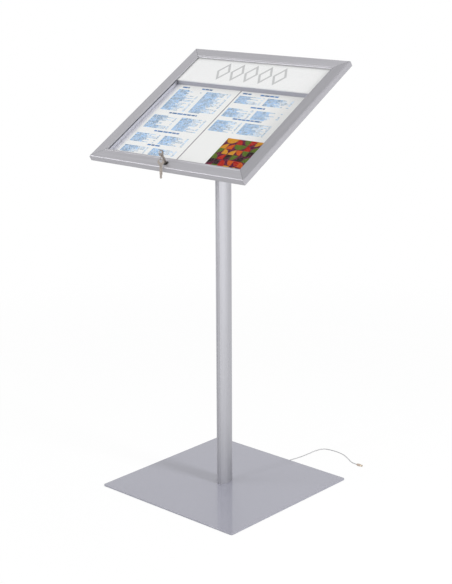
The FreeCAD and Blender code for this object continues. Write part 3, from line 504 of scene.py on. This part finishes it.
def column_outline():
    """Outline of the column from above: curved sides joined by flat, grooved ends with eased corners.

    x = half width - radius + sqrt(radius^2 - y^2) on the right side
    """
    bulge = column_half_width - column_end_half
    radius = (column_half_depth**2 + bulge**2) / (2.0 * bulge)
    y = np.linspace(corner_ease - column_half_depth, column_half_depth - corner_ease, side_points)
    right = np.stack([column_half_width - radius + np.sqrt(radius**2 - y**2), y], -1)
    flat = column_end_half - corner_ease * corner_share
    lip = column_half_depth - groove_ease
    back = np.array([
        (flat, column_half_depth),
        (groove_half + groove_ease, column_half_depth),
        (groove_half, lip),
        (groove_half, groove_floor),
        (-groove_half, groove_floor),
        (-groove_half, lip),
        (-groove_half - groove_ease, column_half_depth),
        (-flat, column_half_depth),
    ])
    return np.concatenate([right, back, -right, -back])


outline = column_outline()
head_run = outline[:, 1] - head_origin[1]
head_rise = (bracket_back + math.sin(head_tilt) * head_run) / math.cos(head_tilt)
foot_row = np.column_stack([outline, np.full(len(outline), column_foot)])
head_row = np.column_stack([outline, head_origin[2] + head_rise])
column_steps = np.linspace(0.0, 1.0, column_levels)[:, None, None]
column_points = foot_row + column_steps * (head_row - foot_row)
add_piece(
    "column_skin", column_points,
    grid_faces(column_levels, len(outline)).tolist() + end_caps(column_levels, len(outline)),
    "stand", finishes["column_metal"], replaced=("column",), smooth=25.0,
)

# Lock, keys and ring

lock_sides = 48
lock_profile = [
    (4.05, -9.4), (5.5, -9.4), (5.5, 0.0), (6.55, 0.0), (6.8, 0.15), (6.8, 0.55), (6.65, 0.85),
    (6.35, 1.0), (4.9, 1.0), (4.5, 0.9), (4.25, 0.7), (4.05, 0.6),
]
lock_points = turned(lock_profile, in_head(0.0, lock_y, 0.0), front_direction, lock_sides)
add_piece(
    "lock_barrel", lock_points, grid_faces(len(lock_profile), lock_sides, close_rows=True).tolist(),
    "door", finishes["lock_chrome"], replaced=("lock_body",), smooth=35.0,
)

key_bow_radius = 8.0
key_bow_drop = 2.6
key_hole_radius = 3.8
key_hole_height = 33.6
key_shoulder = 32.5
key_tip = 42.4
bow_sides = 40
shaft_levels = [6.0, 12.0, 22.0]
shoulder_step = 0.01
shaft_half = 3.5
blade_half = 3.0
tip_half_bitted = 1.2
tip_half_plain = 1.8
tooth_depths = [0.0, 1.1, 0.4, 1.6, 0.7, 1.3, 0.3, 0.9]
tooth_margin = 0.5
tooth_begin = 0.1
tooth_share = 0.6

# Sections of one face of the key, from edge to edge: place across it and height above the middle
bow_share = np.array([0.0, 0.06, 0.25, 0.32, 0.72, 0.8, 0.95, 1.0])
bow_rise = np.array([0.5, 0.75, 0.75, 0.6, 0.6, 0.75, 0.75, 0.45])
stem_share = np.array([-1.0, -0.86, -0.3, -0.22, 0.22, 0.3, 0.86, 1.0])
stem_rise = np.array([0.5, 0.75, 0.75, 0.5, 0.5, 0.75, 0.75, 0.5])


def both_faces(share, rise):
    """Closed section of a key: one face's places and heights, and the same face mirrored below it."""
    return np.concatenate([share, share[::-1]]), np.concatenate([rise, -rise[::-1]])


def key_bow():
    """Bow with its ring hole and eased edges, made of spokes from the hole's rim to the bow's rim.

    point = hole rim + share * (bow rim - hole rim), at the section's height
    """
    angle = np.linspace(0.0, 2.0 * math.pi, bow_sides, endpoint=False)
    spoke = np.stack([np.cos(angle), np.sin(angle)], -1)
    hole = key_hole_radius * spoke
    rim = key_bow_radius * spoke - np.array([0.0, key_bow_drop])
    share, rise = both_faces(bow_share, bow_rise)
    flat = hole + share[:, None, None] * (rim - hole)
    thick = np.broadcast_to(rise[:, None], flat.shape[:2])
    return np.stack([thick, flat[..., 0], flat[..., 1]], -1)


def key_stem():
    """Shaft and toothed blade: an eased, grooved section carried down the key.

    place across = share * half width at that depth, which the teeth make less on one side
    """
    teeth = np.array(tooth_depths)
    tooth_pitch = (key_tip - key_shoulder - 2.0 * tooth_margin) / len(teeth)
    tooth_steps = key_shoulder + tooth_margin + tooth_pitch * np.repeat(np.arange(len(teeth)), 2)
    tooth_steps = tooth_steps + np.tile([tooth_begin, tooth_pitch * tooth_share], len(teeth))
    shaft_steps = shaft_levels + [key_shoulder, key_shoulder + shoulder_step]
    shaft_widths = [shaft_half] * (len(shaft_levels) + 1) + [blade_half]
    down = np.concatenate([shaft_steps, tooth_steps, [key_tip]])
    bitted = np.concatenate([shaft_widths, blade_half - np.repeat(teeth, 2), [tip_half_bitted]])
    plain = np.concatenate([shaft_widths, np.full(len(tooth_steps), blade_half), [tip_half_plain]])
    side, thick = both_faces(stem_share, stem_rise)
    reach = np.where(side > 0.0, bitted[:, None], plain[:, None])
    across = side * reach
    depth = np.broadcast_to(-down[:, None], across.shape)
    return np.stack([np.broadcast_to(thick, across.shape), across, depth], -1)


def key_mesh(place):
    """Points and faces of one key after its own frame is placed."""
    bow = key_bow()
    stem = key_stem()
    bow_faces = grid_faces(bow.shape[0], bow.shape[1], close_rows=True)
    stem_faces = grid_faces(stem.shape[0], stem.shape[1])
    stem_caps = end_caps(stem.shape[0], stem.shape[1])
    bow_count = bow.shape[0] * bow.shape[1]
    bow = bow.reshape(-1, 3)
    stem = stem.reshape(-1, 3)
    if encloses(bow, bow_faces) < 0.0:
        bow_faces = bow_faces[:, ::-1]
    stem_all = stem_faces.tolist() + stem_caps
    if encloses(stem, stem_all) < 0.0:
        stem_all = [face[::-1] for face in stem_all]
    faces = bow_faces.tolist() + [[corner + bow_count for corner in face] for face in stem_all]
    return place(np.concatenate([bow, stem])), faces


def in_lock(points):
    """Key's own frame set over the lock, with its blade down the lock's bore."""
    return in_head(points[:, 0], lock_y + points[:, 1], key_hole_height + points[:, 2])


key_points, key_faces = key_mesh(in_lock)
add_piece(
    "door_key", key_points, key_faces, "lock", finishes["key_metal"],
    replaced=("key",), smooth=30.0,
)

ring_turn = math.radians(52.0)
ring_radius = 8.7
ring_wire = 0.3
ring_drop = 1.0
ring_start = 0.3
ring_end_gap = 0.12
ring_crossing = 0.5
ring_steps = 145
ring_sides = 10
spare_drop = 2.9
ring_down = np.array([0.0, 0.0, -1.0])
ring_top = in_head(0.0, lock_y, key_hole_height) + ring_drop * ring_down
ring_tangent = np.array([math.cos(ring_turn), -math.sin(ring_turn), 0.0])
ring_axis = np.cross(ring_tangent, ring_down)
ring_centre = ring_top + ring_radius * ring_down
spare_hole = ring_top + (2.0 * ring_radius + spare_drop) * ring_down


def split_ring():
    """Two turns of wire side by side, crossing over once.

    middle = centre + radius * (cos turn * tangent + sin turn * down) + shift * axis
    """
    turn = np.linspace(ring_start, ring_start + 4.0 * math.pi - ring_end_gap, ring_steps)
    middle_turn = ring_start + 2.0 * math.pi
    shift = np.clip((turn - middle_turn) / ring_crossing, -1.0, 1.0) * ring_wire
    spoke = np.cos(turn)[:, None] * ring_tangent + np.sin(turn)[:, None] * ring_down
    angle = np.linspace(0.0, 2.0 * math.pi, ring_sides, endpoint=False)
    middle = ring_centre + ring_radius * spoke + shift[:, None] * ring_axis
    round_wire = np.cos(angle)[:, None] * spoke[:, None, :] + np.sin(angle)[:, None] * ring_axis
    return middle[:, None, :] + ring_wire * round_wire


add_piece(
    "split_ring", split_ring(),
    grid_faces(ring_steps, ring_sides).tolist() + end_caps(ring_steps, ring_sides),
    "ring", finishes["ring_wire"], replaced=("key_ring",), smooth=50.0,
)


def hanging(points):
    """Key's own frame hung from the ring, turned so that its flat faces along the ring."""
    side = np.array([math.sin(ring_turn), math.cos(ring_turn), 0.0])
    upright = np.array([0.0, 0.0, 1.0])
    return spare_hole + points[:, :1] * ring_tangent + points[:, 1:2] * side + points[:, 2:] * upright


spare_points, spare_faces = key_mesh(hanging)
add_piece(
    "hanging_key", spare_points, spare_faces, "spare", finishes["key_metal"],
    replaced=("spare_key",), smooth=30.0,
)

# Screws behind the case

bracket_screw_places = [(-48.0, -28.0), (-48.0, 58.0), (48.0, -28.0), (48.0, 58.0)]
screw_head_height = 3.0
screw_sides = 48

# Rings down one screw: 1 for round with a radius or 0 for hexagonal with a width across flats,
# that radius or width, and the height above the head's top
screw_rings = np.array([
    (0.0, 1.35, -1.8), (0.0, 3.0, -1.8), (0.0, 3.0, 0.0), (1.0, 3.7, 0.0), (1.0, 4.2, -0.25),
    (1.0, 4.5, -0.8), (1.0, 4.5, -3.0), (1.0, 2.5, -3.0), (1.0, 2.5, -10.0),
])


def socket_screws():
    """Points and faces of all screws: a round head with a hexagonal socket, and a shank.

    radius of a hexagon = half its width across flats / cos(angle from the middle of a side)
    """
    angle = np.linspace(0.0, 2.0 * math.pi, screw_sides, endpoint=False)
    hexagon = 0.5 / np.cos(np.mod(angle, math.pi / 3.0) - math.pi / 6.0)
    points = []
    faces = []
    rows = len(screw_rings)
    count = rows * screw_sides
    one = grid_faces(rows, screw_sides).tolist() + end_caps(rows, screw_sides)
    spoke = np.where(screw_rings[:, :1] > 0.5, screw_rings[:, 1:2], screw_rings[:, 1:2] * hexagon)
    z = bracket_back - screw_head_height - screw_rings[:, 2:]
    for index, (x, y) in enumerate(bracket_screw_places):
        points.append(in_head(x + spoke * np.cos(angle), y + spoke * np.sin(angle), z).reshape(-1, 3))
        faces += [[corner + index * count for corner in face] for face in one]
    return np.concatenate(points), faces


screw_points, screw_faces = socket_screws()
add_piece(
    "bracket_socket_screws", screw_points, screw_faces, "stand", finishes["steel"],
    replaced=("bracket_screws",), smooth=35.0,
)

# Print on the pages and the header, as thin closed slabs

print_seed = 20
print_draws = np.random.default_rng(print_seed)
name_ink = np.array(linear(130, 172, 213))
word_ink = np.array(linear(168, 196, 223))
heading_ink = np.array(linear(70, 118, 172))
header_ink = np.array(linear(200, 200, 201))
line_pitch = 4.3
name_height = 3.2
word_height = 2.4
heading_height = 4.8
bars_per_line = 12
least_bar = 1.5
name_run = (33.0, 53.0)
name_width = (5.0, 13.0)
name_gap = 0.9
worded_share = 0.85
word_lift = 0.4
word_run = (10.0, 34.0)
word_width = (4.0, 9.0)
word_gap = 1.2
price_room = 9.0
price_width = (4.0, 8.0)
heading_width = (9.0, 20.0)
heading_gap = 2.2
ink_spread = 0.34
header_ink_spread = 0.02

# Columns of bars as (left, right), groups as (top, bottom), and headings as (left, right, low)
left_columns = ((-201.0, -118.0), (-103.0, -20.0))
right_columns = ((9.0, 92.0), (102.0, 185.0))
left_groups = ((78.0, -10.0), (-30.0, -83.0), (-104.0, -141.0), (-154.0, -182.0))
right_groups = ((78.0, 44.0), (28.0, -8.0), (-21.0, -64.0))
headings = (
    (-196.0, -172.0, 84.0), (-128.0, -92.0, 84.0), (-160.0, -64.0, -20.5), (-152.0, -66.0, -94.0),
    (-132.0, -88.0, -147.0), (12.0, 40.0, 84.0), (70.0, 128.0, 84.0), (74.0, 120.0, 35.0),
    (52.0, 144.0, -14.0),
)


def line_bars(start, widths, gap, limit, low, height):
    """Bars that follow each other along every line, cut off at the line's limit.

    begin = start + all widths and gaps before the bar
    """
    begin = start + np.cumsum(widths + gap, 1) - widths - gap
    end = np.minimum(begin + widths, limit)
    low = low + np.zeros_like(begin)
    return np.stack([begin, end, low, low + height], -1)[end - begin > least_bar]


def text_lines(left, right, top, bottom):
    """Bars on each line: strong ones at the left, then on most lines paler ones and a short last one."""
    lines = int((top - bottom) / line_pitch)
    low = top - line_pitch * (np.arange(lines) + 1.0)[:, None]
    name_end = left + print_draws.uniform(*name_run, (lines, 1))
    name_widths = print_draws.uniform(*name_width, (lines, bars_per_line))
    names = line_bars(left, name_widths, name_gap, name_end, low, name_height)
    worded = np.flatnonzero(print_draws.uniform(size=lines) < worded_share)
    count = len(worded)
    low = low[worded] + word_lift
    word_start = name_end[worded] + word_gap
    word_end = np.minimum(word_start + print_draws.uniform(*word_run, (count, 1)), right - price_room)
    word_widths = print_draws.uniform(*word_width, (count, bars_per_line))
    words = line_bars(word_start, word_widths, word_gap, word_end, low, word_height)
    price_start = right - print_draws.uniform(*price_width, (count, 1))
    prices = line_bars(price_start, np.full((count, 1), price_room), 0.0, right, low, word_height)
    return names, np.concatenate([words, prices])


# Corners of a box: where a row of (left, right, low, high) holds their x and y,
# their level from 0 below to 1 above, and the faces between them
box_x = [0, 1, 1, 0, 0, 1, 1, 0]
box_y = [2, 2, 3, 3, 2, 2, 3, 3]
box_z = np.array([0.0, 0.0, 0.0, 0.0, 1.0, 1.0, 1.0, 1.0])
box_faces = np.array([
    [3, 2, 1, 0], [4, 5, 6, 7], [0, 1, 5, 4], [1, 2, 6, 5], [2, 3, 7, 6], [3, 0, 4, 7],
])
box_corners = len(box_x)


def slabs(rectangles, level):
    """Thin closed boxes on the head's slope from rows of (left, right, low, high)."""
    x = rectangles[:, box_x]
    y = rectangles[:, box_y]
    z = level + ink_thickness * box_z
    faces = box_faces + box_corners * np.arange(len(rectangles))[:, None, None]
    return in_head(x, y, z).reshape(-1, 3), faces.reshape(-1, 4).tolist()


def add_print(name, points, faces, colours, body):
    """Printed shapes with their own ink on every corner."""
    piece = add_piece(name, points, faces, body, ink_finish)
    ink = piece.data.color_attributes.new("ink", "FLOAT_COLOR", "POINT")
    ink.data.foreach_set("color", np.asarray(colours, np.float32).ravel())
    return piece


def inked(colour, count, corners, spread):
    """One colour per shape, a little lighter or darker from shape to shape."""
    shade = print_draws.uniform(1.0 - spread, 1.0 + spread, (count, 1))
    colours = np.clip(colour * shade, 0.0, 1.0)
    colours[:, 3] = 1.0
    return np.repeat(colours, corners, 0)


def page_text(name, columns, groups, heads):
    """All bars of one page: its groups in two columns, and its headings."""
    blocks = [text_lines(left, right, top, bottom) for top, bottom in groups for left, right in columns]
    kinds = [np.concatenate(kind) for kind in zip(*blocks)]
    left, right, low = np.array(heads).T[:, :, None]
    widths = print_draws.uniform(*heading_width, (len(heads), bars_per_line))
    kinds.append(line_bars(left, widths, heading_gap, right, low, heading_height))
    points, faces = slabs(np.concatenate(kinds), page_front)
    inks = (name_ink, word_ink, heading_ink)
    colours = np.concatenate(
        [inked(ink, len(kind), box_corners, ink_spread) for ink, kind in zip(inks, kinds)]
    )
    return add_print(name, points, faces, colours, "stand")


page_text("left_page_print", left_columns, left_groups, [head for head in headings if head[0] < 0.0])
page_text("right_page_print", right_columns, right_groups, [head for head in headings if head[0] > 0.0])

# Corner design on the right page: a maroon panel with rows of quarter discs

design_left = 92.0
design_low = -196.0
tile = 19.0
tile_columns = 6
tile_rows = 6
disc_share = 0.94
arc_points = 9
design_colours = np.array([
    linear(198, 86, 12), linear(172, 30, 12), linear(82, 104, 18), linear(202, 138, 30),
    linear(34, 10, 10),
])
maroon_ink = np.array(linear(88, 16, 50))


def quarter_discs():
    """Thin quarter disc in each tile: its centre at one corner and an arc round it.

    point = corner + share * tile * (cos angle, sin angle)
    """
    column, row = np.meshgrid(np.arange(tile_columns), np.arange(tile_rows))
    column = column.ravel()
    row = row.ravel()
    quarter = (column + 2 * row + print_draws.integers(0, 2, len(row))) % 4
    corner_x = design_left + tile * (column + np.isin(quarter, (1, 2)))
    corner_y = design_low + tile * (row + np.isin(quarter, (2, 3)))
    angle = np.linspace(0.0, math.pi / 2.0, arc_points) + quarter[:, None] * math.pi / 2.0
    x = np.concatenate([corner_x[:, None], corner_x[:, None] + disc_share * tile * np.cos(angle)], 1)
    y = np.concatenate([corner_y[:, None], corner_y[:, None] + disc_share * tile * np.sin(angle)], 1)
    level = page_front + ink_thickness * np.array([1.0, 2.0])
    points = in_head(x[:, None, :], y[:, None, :], level[None, :, None])
    count = points.shape[2]
    one = grid_faces(2, count).tolist() + end_caps(2, count)
    firsts = 2 * count * np.arange(len(row))
    faces = [[corner + int(first) for corner in face] for first in firsts for face in one]
    pick = print_draws.integers(0, len(design_colours), len(row))
    return points.reshape(-1, 3), faces, np.repeat(design_colours[pick], 2 * count, 0)


design_right = design_left + tile * tile_columns
design_high = design_low + tile * tile_rows
panel = np.array([[design_left, design_right, design_low, design_high]])
panel_points, panel_faces = slabs(panel, page_front)
panel_colours = np.repeat(maroon_ink[None], box_corners, 0)
add_print("design_panel", panel_points, panel_faces, panel_colours, "stand")
disc_points, disc_faces, disc_colours = quarter_discs()
add_print("design_discs", disc_points, disc_faces, disc_colours, "stand")

# Header ornament: a row of pale open lozenges

lozenge_count = 5
lozenge_pitch = 47.0
lozenge_first = -98.0
lozenge_middle = 151.0
lozenge_half_width = 22.0
lozenge_half_height = 36.0
lozenge_line = 0.66
lozenge_corners = 16


def open_lozenges():
    """Lozenge frames: an outer lozenge and a smaller one inside it, joined into a thin closed slab."""
    corner = np.array([(1.0, 0.0), (0.0, 1.0), (-1.0, 0.0), (0.0, -1.0)])
    shape = corner * np.array([lozenge_half_width, lozenge_half_height])
    size = np.array([1.0, 1.0, lozenge_line, lozenge_line])
    level = header_front + ink_thickness * np.array([0.0, 1.0, 1.0, 0.0])
    middle = lozenge_first + lozenge_pitch * np.arange(lozenge_count)
    x = middle[:, None, None] + size[:, None] * shape[:, 0]
    y = lozenge_middle + size[:, None] * shape[:, 1]
    points = in_head(x, y[None], level[None, :, None])
    first = lozenge_corners * np.arange(lozenge_count)
    faces = grid_faces(4, 4, close_rows=True) + first[:, None, None]
    return points.reshape(-1, 3), faces.reshape(-1, 4).tolist()


lozenge_points, lozenge_faces = open_lozenges()
lozenge_colours = inked(header_ink, lozenge_count, lozenge_corners, header_ink_spread)
add_print(
    "header_ornament", lozenge_points, lozenge_faces, lozenge_colours, "stand"
)

# Strip between the pages, and dark strips below the glass beside them as painted shade of the gap
# between the door's lip and the case wall

divider_half = 1.6
divider_low = -201.5
divider_high = 95.5
divider = np.array([[-divider_half, divider_half, divider_low, divider_high]])
divider_points, divider_faces = slabs(divider, page_front)
add_piece("page_divider", divider_points, divider_faces, "stand", divider_shade)

# Section of one dark shade strip as (x, z) with an eased lower corner, and its run up the slope
gap_shade_section = np.array([
    (226.3, -4.35), (225.0, -4.35), (225.0, -7.6), (225.4, -8.2), (226.3, -8.2),
])
gap_shade_run = np.array([-200.0, 94.0])


def gap_shade_strips():
    """Two dark strips under the glass as painted shade: the section and its mirror image carried up the
    slope.
    """
    rows = len(gap_shade_run)
    sides = len(gap_shade_section)
    one = grid_faces(rows, sides).tolist() + end_caps(rows, sides)
    points = []
    faces = []
    for index, side in enumerate((-1.0, 1.0)):
        x = np.broadcast_to(side * gap_shade_section[:, 0], (rows, sides))
        points.append(in_head(x, gap_shade_run[:, None], gap_shade_section[:, 1]).reshape(-1, 3))
        first = rows * sides * index
        faces += [[corner + first for corner in face[::int(side)]] for face in one]
    return np.concatenate(points), faces


gap_shade_points, gap_shade_faces = gap_shade_strips()
add_piece("gap_shade_strips", gap_shade_points, gap_shade_faces, "door", finishes["bead_plastic"])

# Mitre lines on the door's front

seam_half = 0.35
seam_height = 0.03
seam_inset = 2.0


def mitre_lines():
    """Narrow slab along each corner's diagonal, from the lip to the outer edge."""
    start = np.array([half_width - rail_width, half_height - rail_width])
    end = np.array([half_width - seam_inset, half_height - seam_inset])
    side = seam_half * np.array([math.sqrt(0.5), -math.sqrt(0.5)])
    corners = np.array([start - side, end - side, end + side, start + side])
    signs = np.array([(1.0, 1.0), (-1.0, 1.0), (-1.0, -1.0), (1.0, -1.0)])
    flat = corners[None] * signs[:, None]
    points = in_head(
        flat[:, None, :, 0], flat[:, None, :, 1], seam_height * np.array([0.0, 1.0])[None, :, None]
    )
    one = grid_faces(2, len(corners)).tolist() + end_caps(2, len(corners))
    faces = []
    for index, sign in enumerate(signs):
        turn = int(sign[0] * sign[1])
        first = 2 * len(corners) * index
        faces += [[corner + first for corner in face[::turn]] for face in one]
    return points.reshape(-1, 3), faces


seam_points, seam_faces = mitre_lines()
add_piece("mitre_lines", seam_points, seam_faces, "door", seam_shade)

# Floor, background and lamps

floor_reach = 3.0
floor_level = -0.0002
floor_inner = 1.0
floor_outer = 2.4
floor_white = (0.97, 0.97, 0.97, 1.0)
glow_share = 0.93
first_bounce = 0.5


def seen_rays(tree):
    """1 for rays from the camera, mirrors and glass, 0 for the rest and for all after a matt bounce."""
    path = tree.nodes.new("ShaderNodeLightPath")
    seen = combined(tree, "MAXIMUM", path.outputs["Is Camera Ray"], path.outputs["Is Glossy Ray"])
    seen = combined(tree, "MAXIMUM", seen, path.outputs["Is Transmission Ray"])
    direct = combined(tree, "LESS_THAN", path.outputs["Diffuse Depth"], first_bounce)
    return combined(tree, "MULTIPLY", seen, direct)


def pale_floor():
    """White floor that keeps a soft shadow near the stand and fades into the background further out."""
    material = bpy.data.materials.new("pale_floor")
    material.use_nodes = True
    tree = material.node_tree
    tree.nodes.remove(tree.nodes["Principled BSDF"])
    matt = tree.nodes.new("ShaderNodeBsdfDiffuse")
    matt.inputs["Color"].default_value = floor_white
    glow = tree.nodes.new("ShaderNodeEmission")
    glow.inputs["Color"].default_value = (1.0, 1.0, 1.0, 1.0)
    share = combined(tree, "MULTIPLY", seen_rays(tree), glow_share)
    lit = mixed(tree, share, matt.outputs["BSDF"], glow.outputs["Emission"])
    place = tree.nodes.new("ShaderNodeTexCoord")
    reach = tree.nodes.new("ShaderNodeVectorMath")
    reach.operation = "LENGTH"
    tree.links.new(place.outputs["Object"], reach.inputs[0])
    fade = tree.nodes.new("ShaderNodeMapRange")
    fade.interpolation_type = "SMOOTHSTEP"
    fade.inputs["From Min"].default_value = floor_inner
    fade.inputs["From Max"].default_value = floor_outer
    tree.links.new(reach.outputs["Value"], fade.inputs["Value"])
    clear = tree.nodes.new("ShaderNodeBsdfTransparent")
    faded = mixed(tree, fade.outputs["Result"], lit, clear.outputs["BSDF"])
    tree.links.new(faded, tree.nodes["Material Output"].inputs["Surface"])
    return material


floor_mesh = bpy.data.meshes.new("floor")
floor_corners = floor_reach * np.array([(-1.0, -1.0), (1.0, -1.0), (1.0, 1.0), (-1.0, 1.0)])
floor_points = np.column_stack([floor_corners, np.full(4, floor_level)])
floor_mesh.from_pydata(floor_points.tolist(), [], [[0, 1, 2, 3]])
floor_mesh.materials.append(pale_floor())
floor = bpy.data.objects.new("floor", floor_mesh)
scene.collection.objects.link(floor)

ambient_strength = 0.42
world = bpy.data.worlds.new("studio")
world.use_nodes = True
scene.world = world
world_tree = world.node_tree
around = world_tree.nodes["Background"]
around.inputs["Color"].default_value = (1.0, 1.0, 1.0, 1.0)
around.inputs["Strength"].default_value = ambient_strength
backdrop = world_tree.nodes.new("ShaderNodeBackground")
backdrop.inputs["Color"].default_value = (1.0, 1.0, 1.0, 1.0)
backdrop.inputs["Strength"].default_value = 1.0
background = mixed(
    world_tree, seen_rays(world_tree), around.outputs["Background"], backdrop.outputs["Background"]
)
world_tree.links.new(background, world_tree.nodes["World Output"].inputs["Surface"])


def soft_lamp(name, place, aim_height, width, height, power):
    """Soft lamp box at a place, facing a point on the stand's upright middle line."""
    data = bpy.data.lights.new(name, "AREA")
    data.shape = "RECTANGLE"
    data.size = width
    data.size_y = height
    data.energy = power
    lamp = bpy.data.objects.new(name, data)
    toward = np.array([0.0, 0.0, aim_height]) - np.asarray(place)
    toward = toward / np.linalg.norm(toward)
    lamp.location = place
    lamp.rotation_euler = (
        math.acos(-toward[2]), 0.0, math.atan2(toward[0], -toward[1]) + math.pi
    )
    scene.collection.objects.link(lamp)
    return lamp


# The side lamp gives the right side its gloss, and the right lamp all its other light
right_lamp = soft_lamp(
    "right_lamp", (2.6, 0.2, 1.65), aim_height=0.7, width=0.6, height=1.0, power=55.0
)
right_lamp.visible_glossy = False
soft_lamp("left_lamp", (-1.75, -2.1, 1.85), aim_height=0.7, width=1.6, height=1.0, power=25.0)
soft_lamp("front_lamp", (-0.5, -2.65, 1.85), aim_height=0.7, width=0.3, height=1.0, power=18.0)
soft_lamp("top_lamp", (0.0, 1.2, 3.1), aim_height=0.9, width=2.2, height=1.2, power=12.0)
side_lamp = soft_lamp(
    "side_lamp", (2.6, 0.4, 0.65), aim_height=0.6, width=2.6, height=1.3, power=21.0
)
side_lamp.visible_diffuse = False
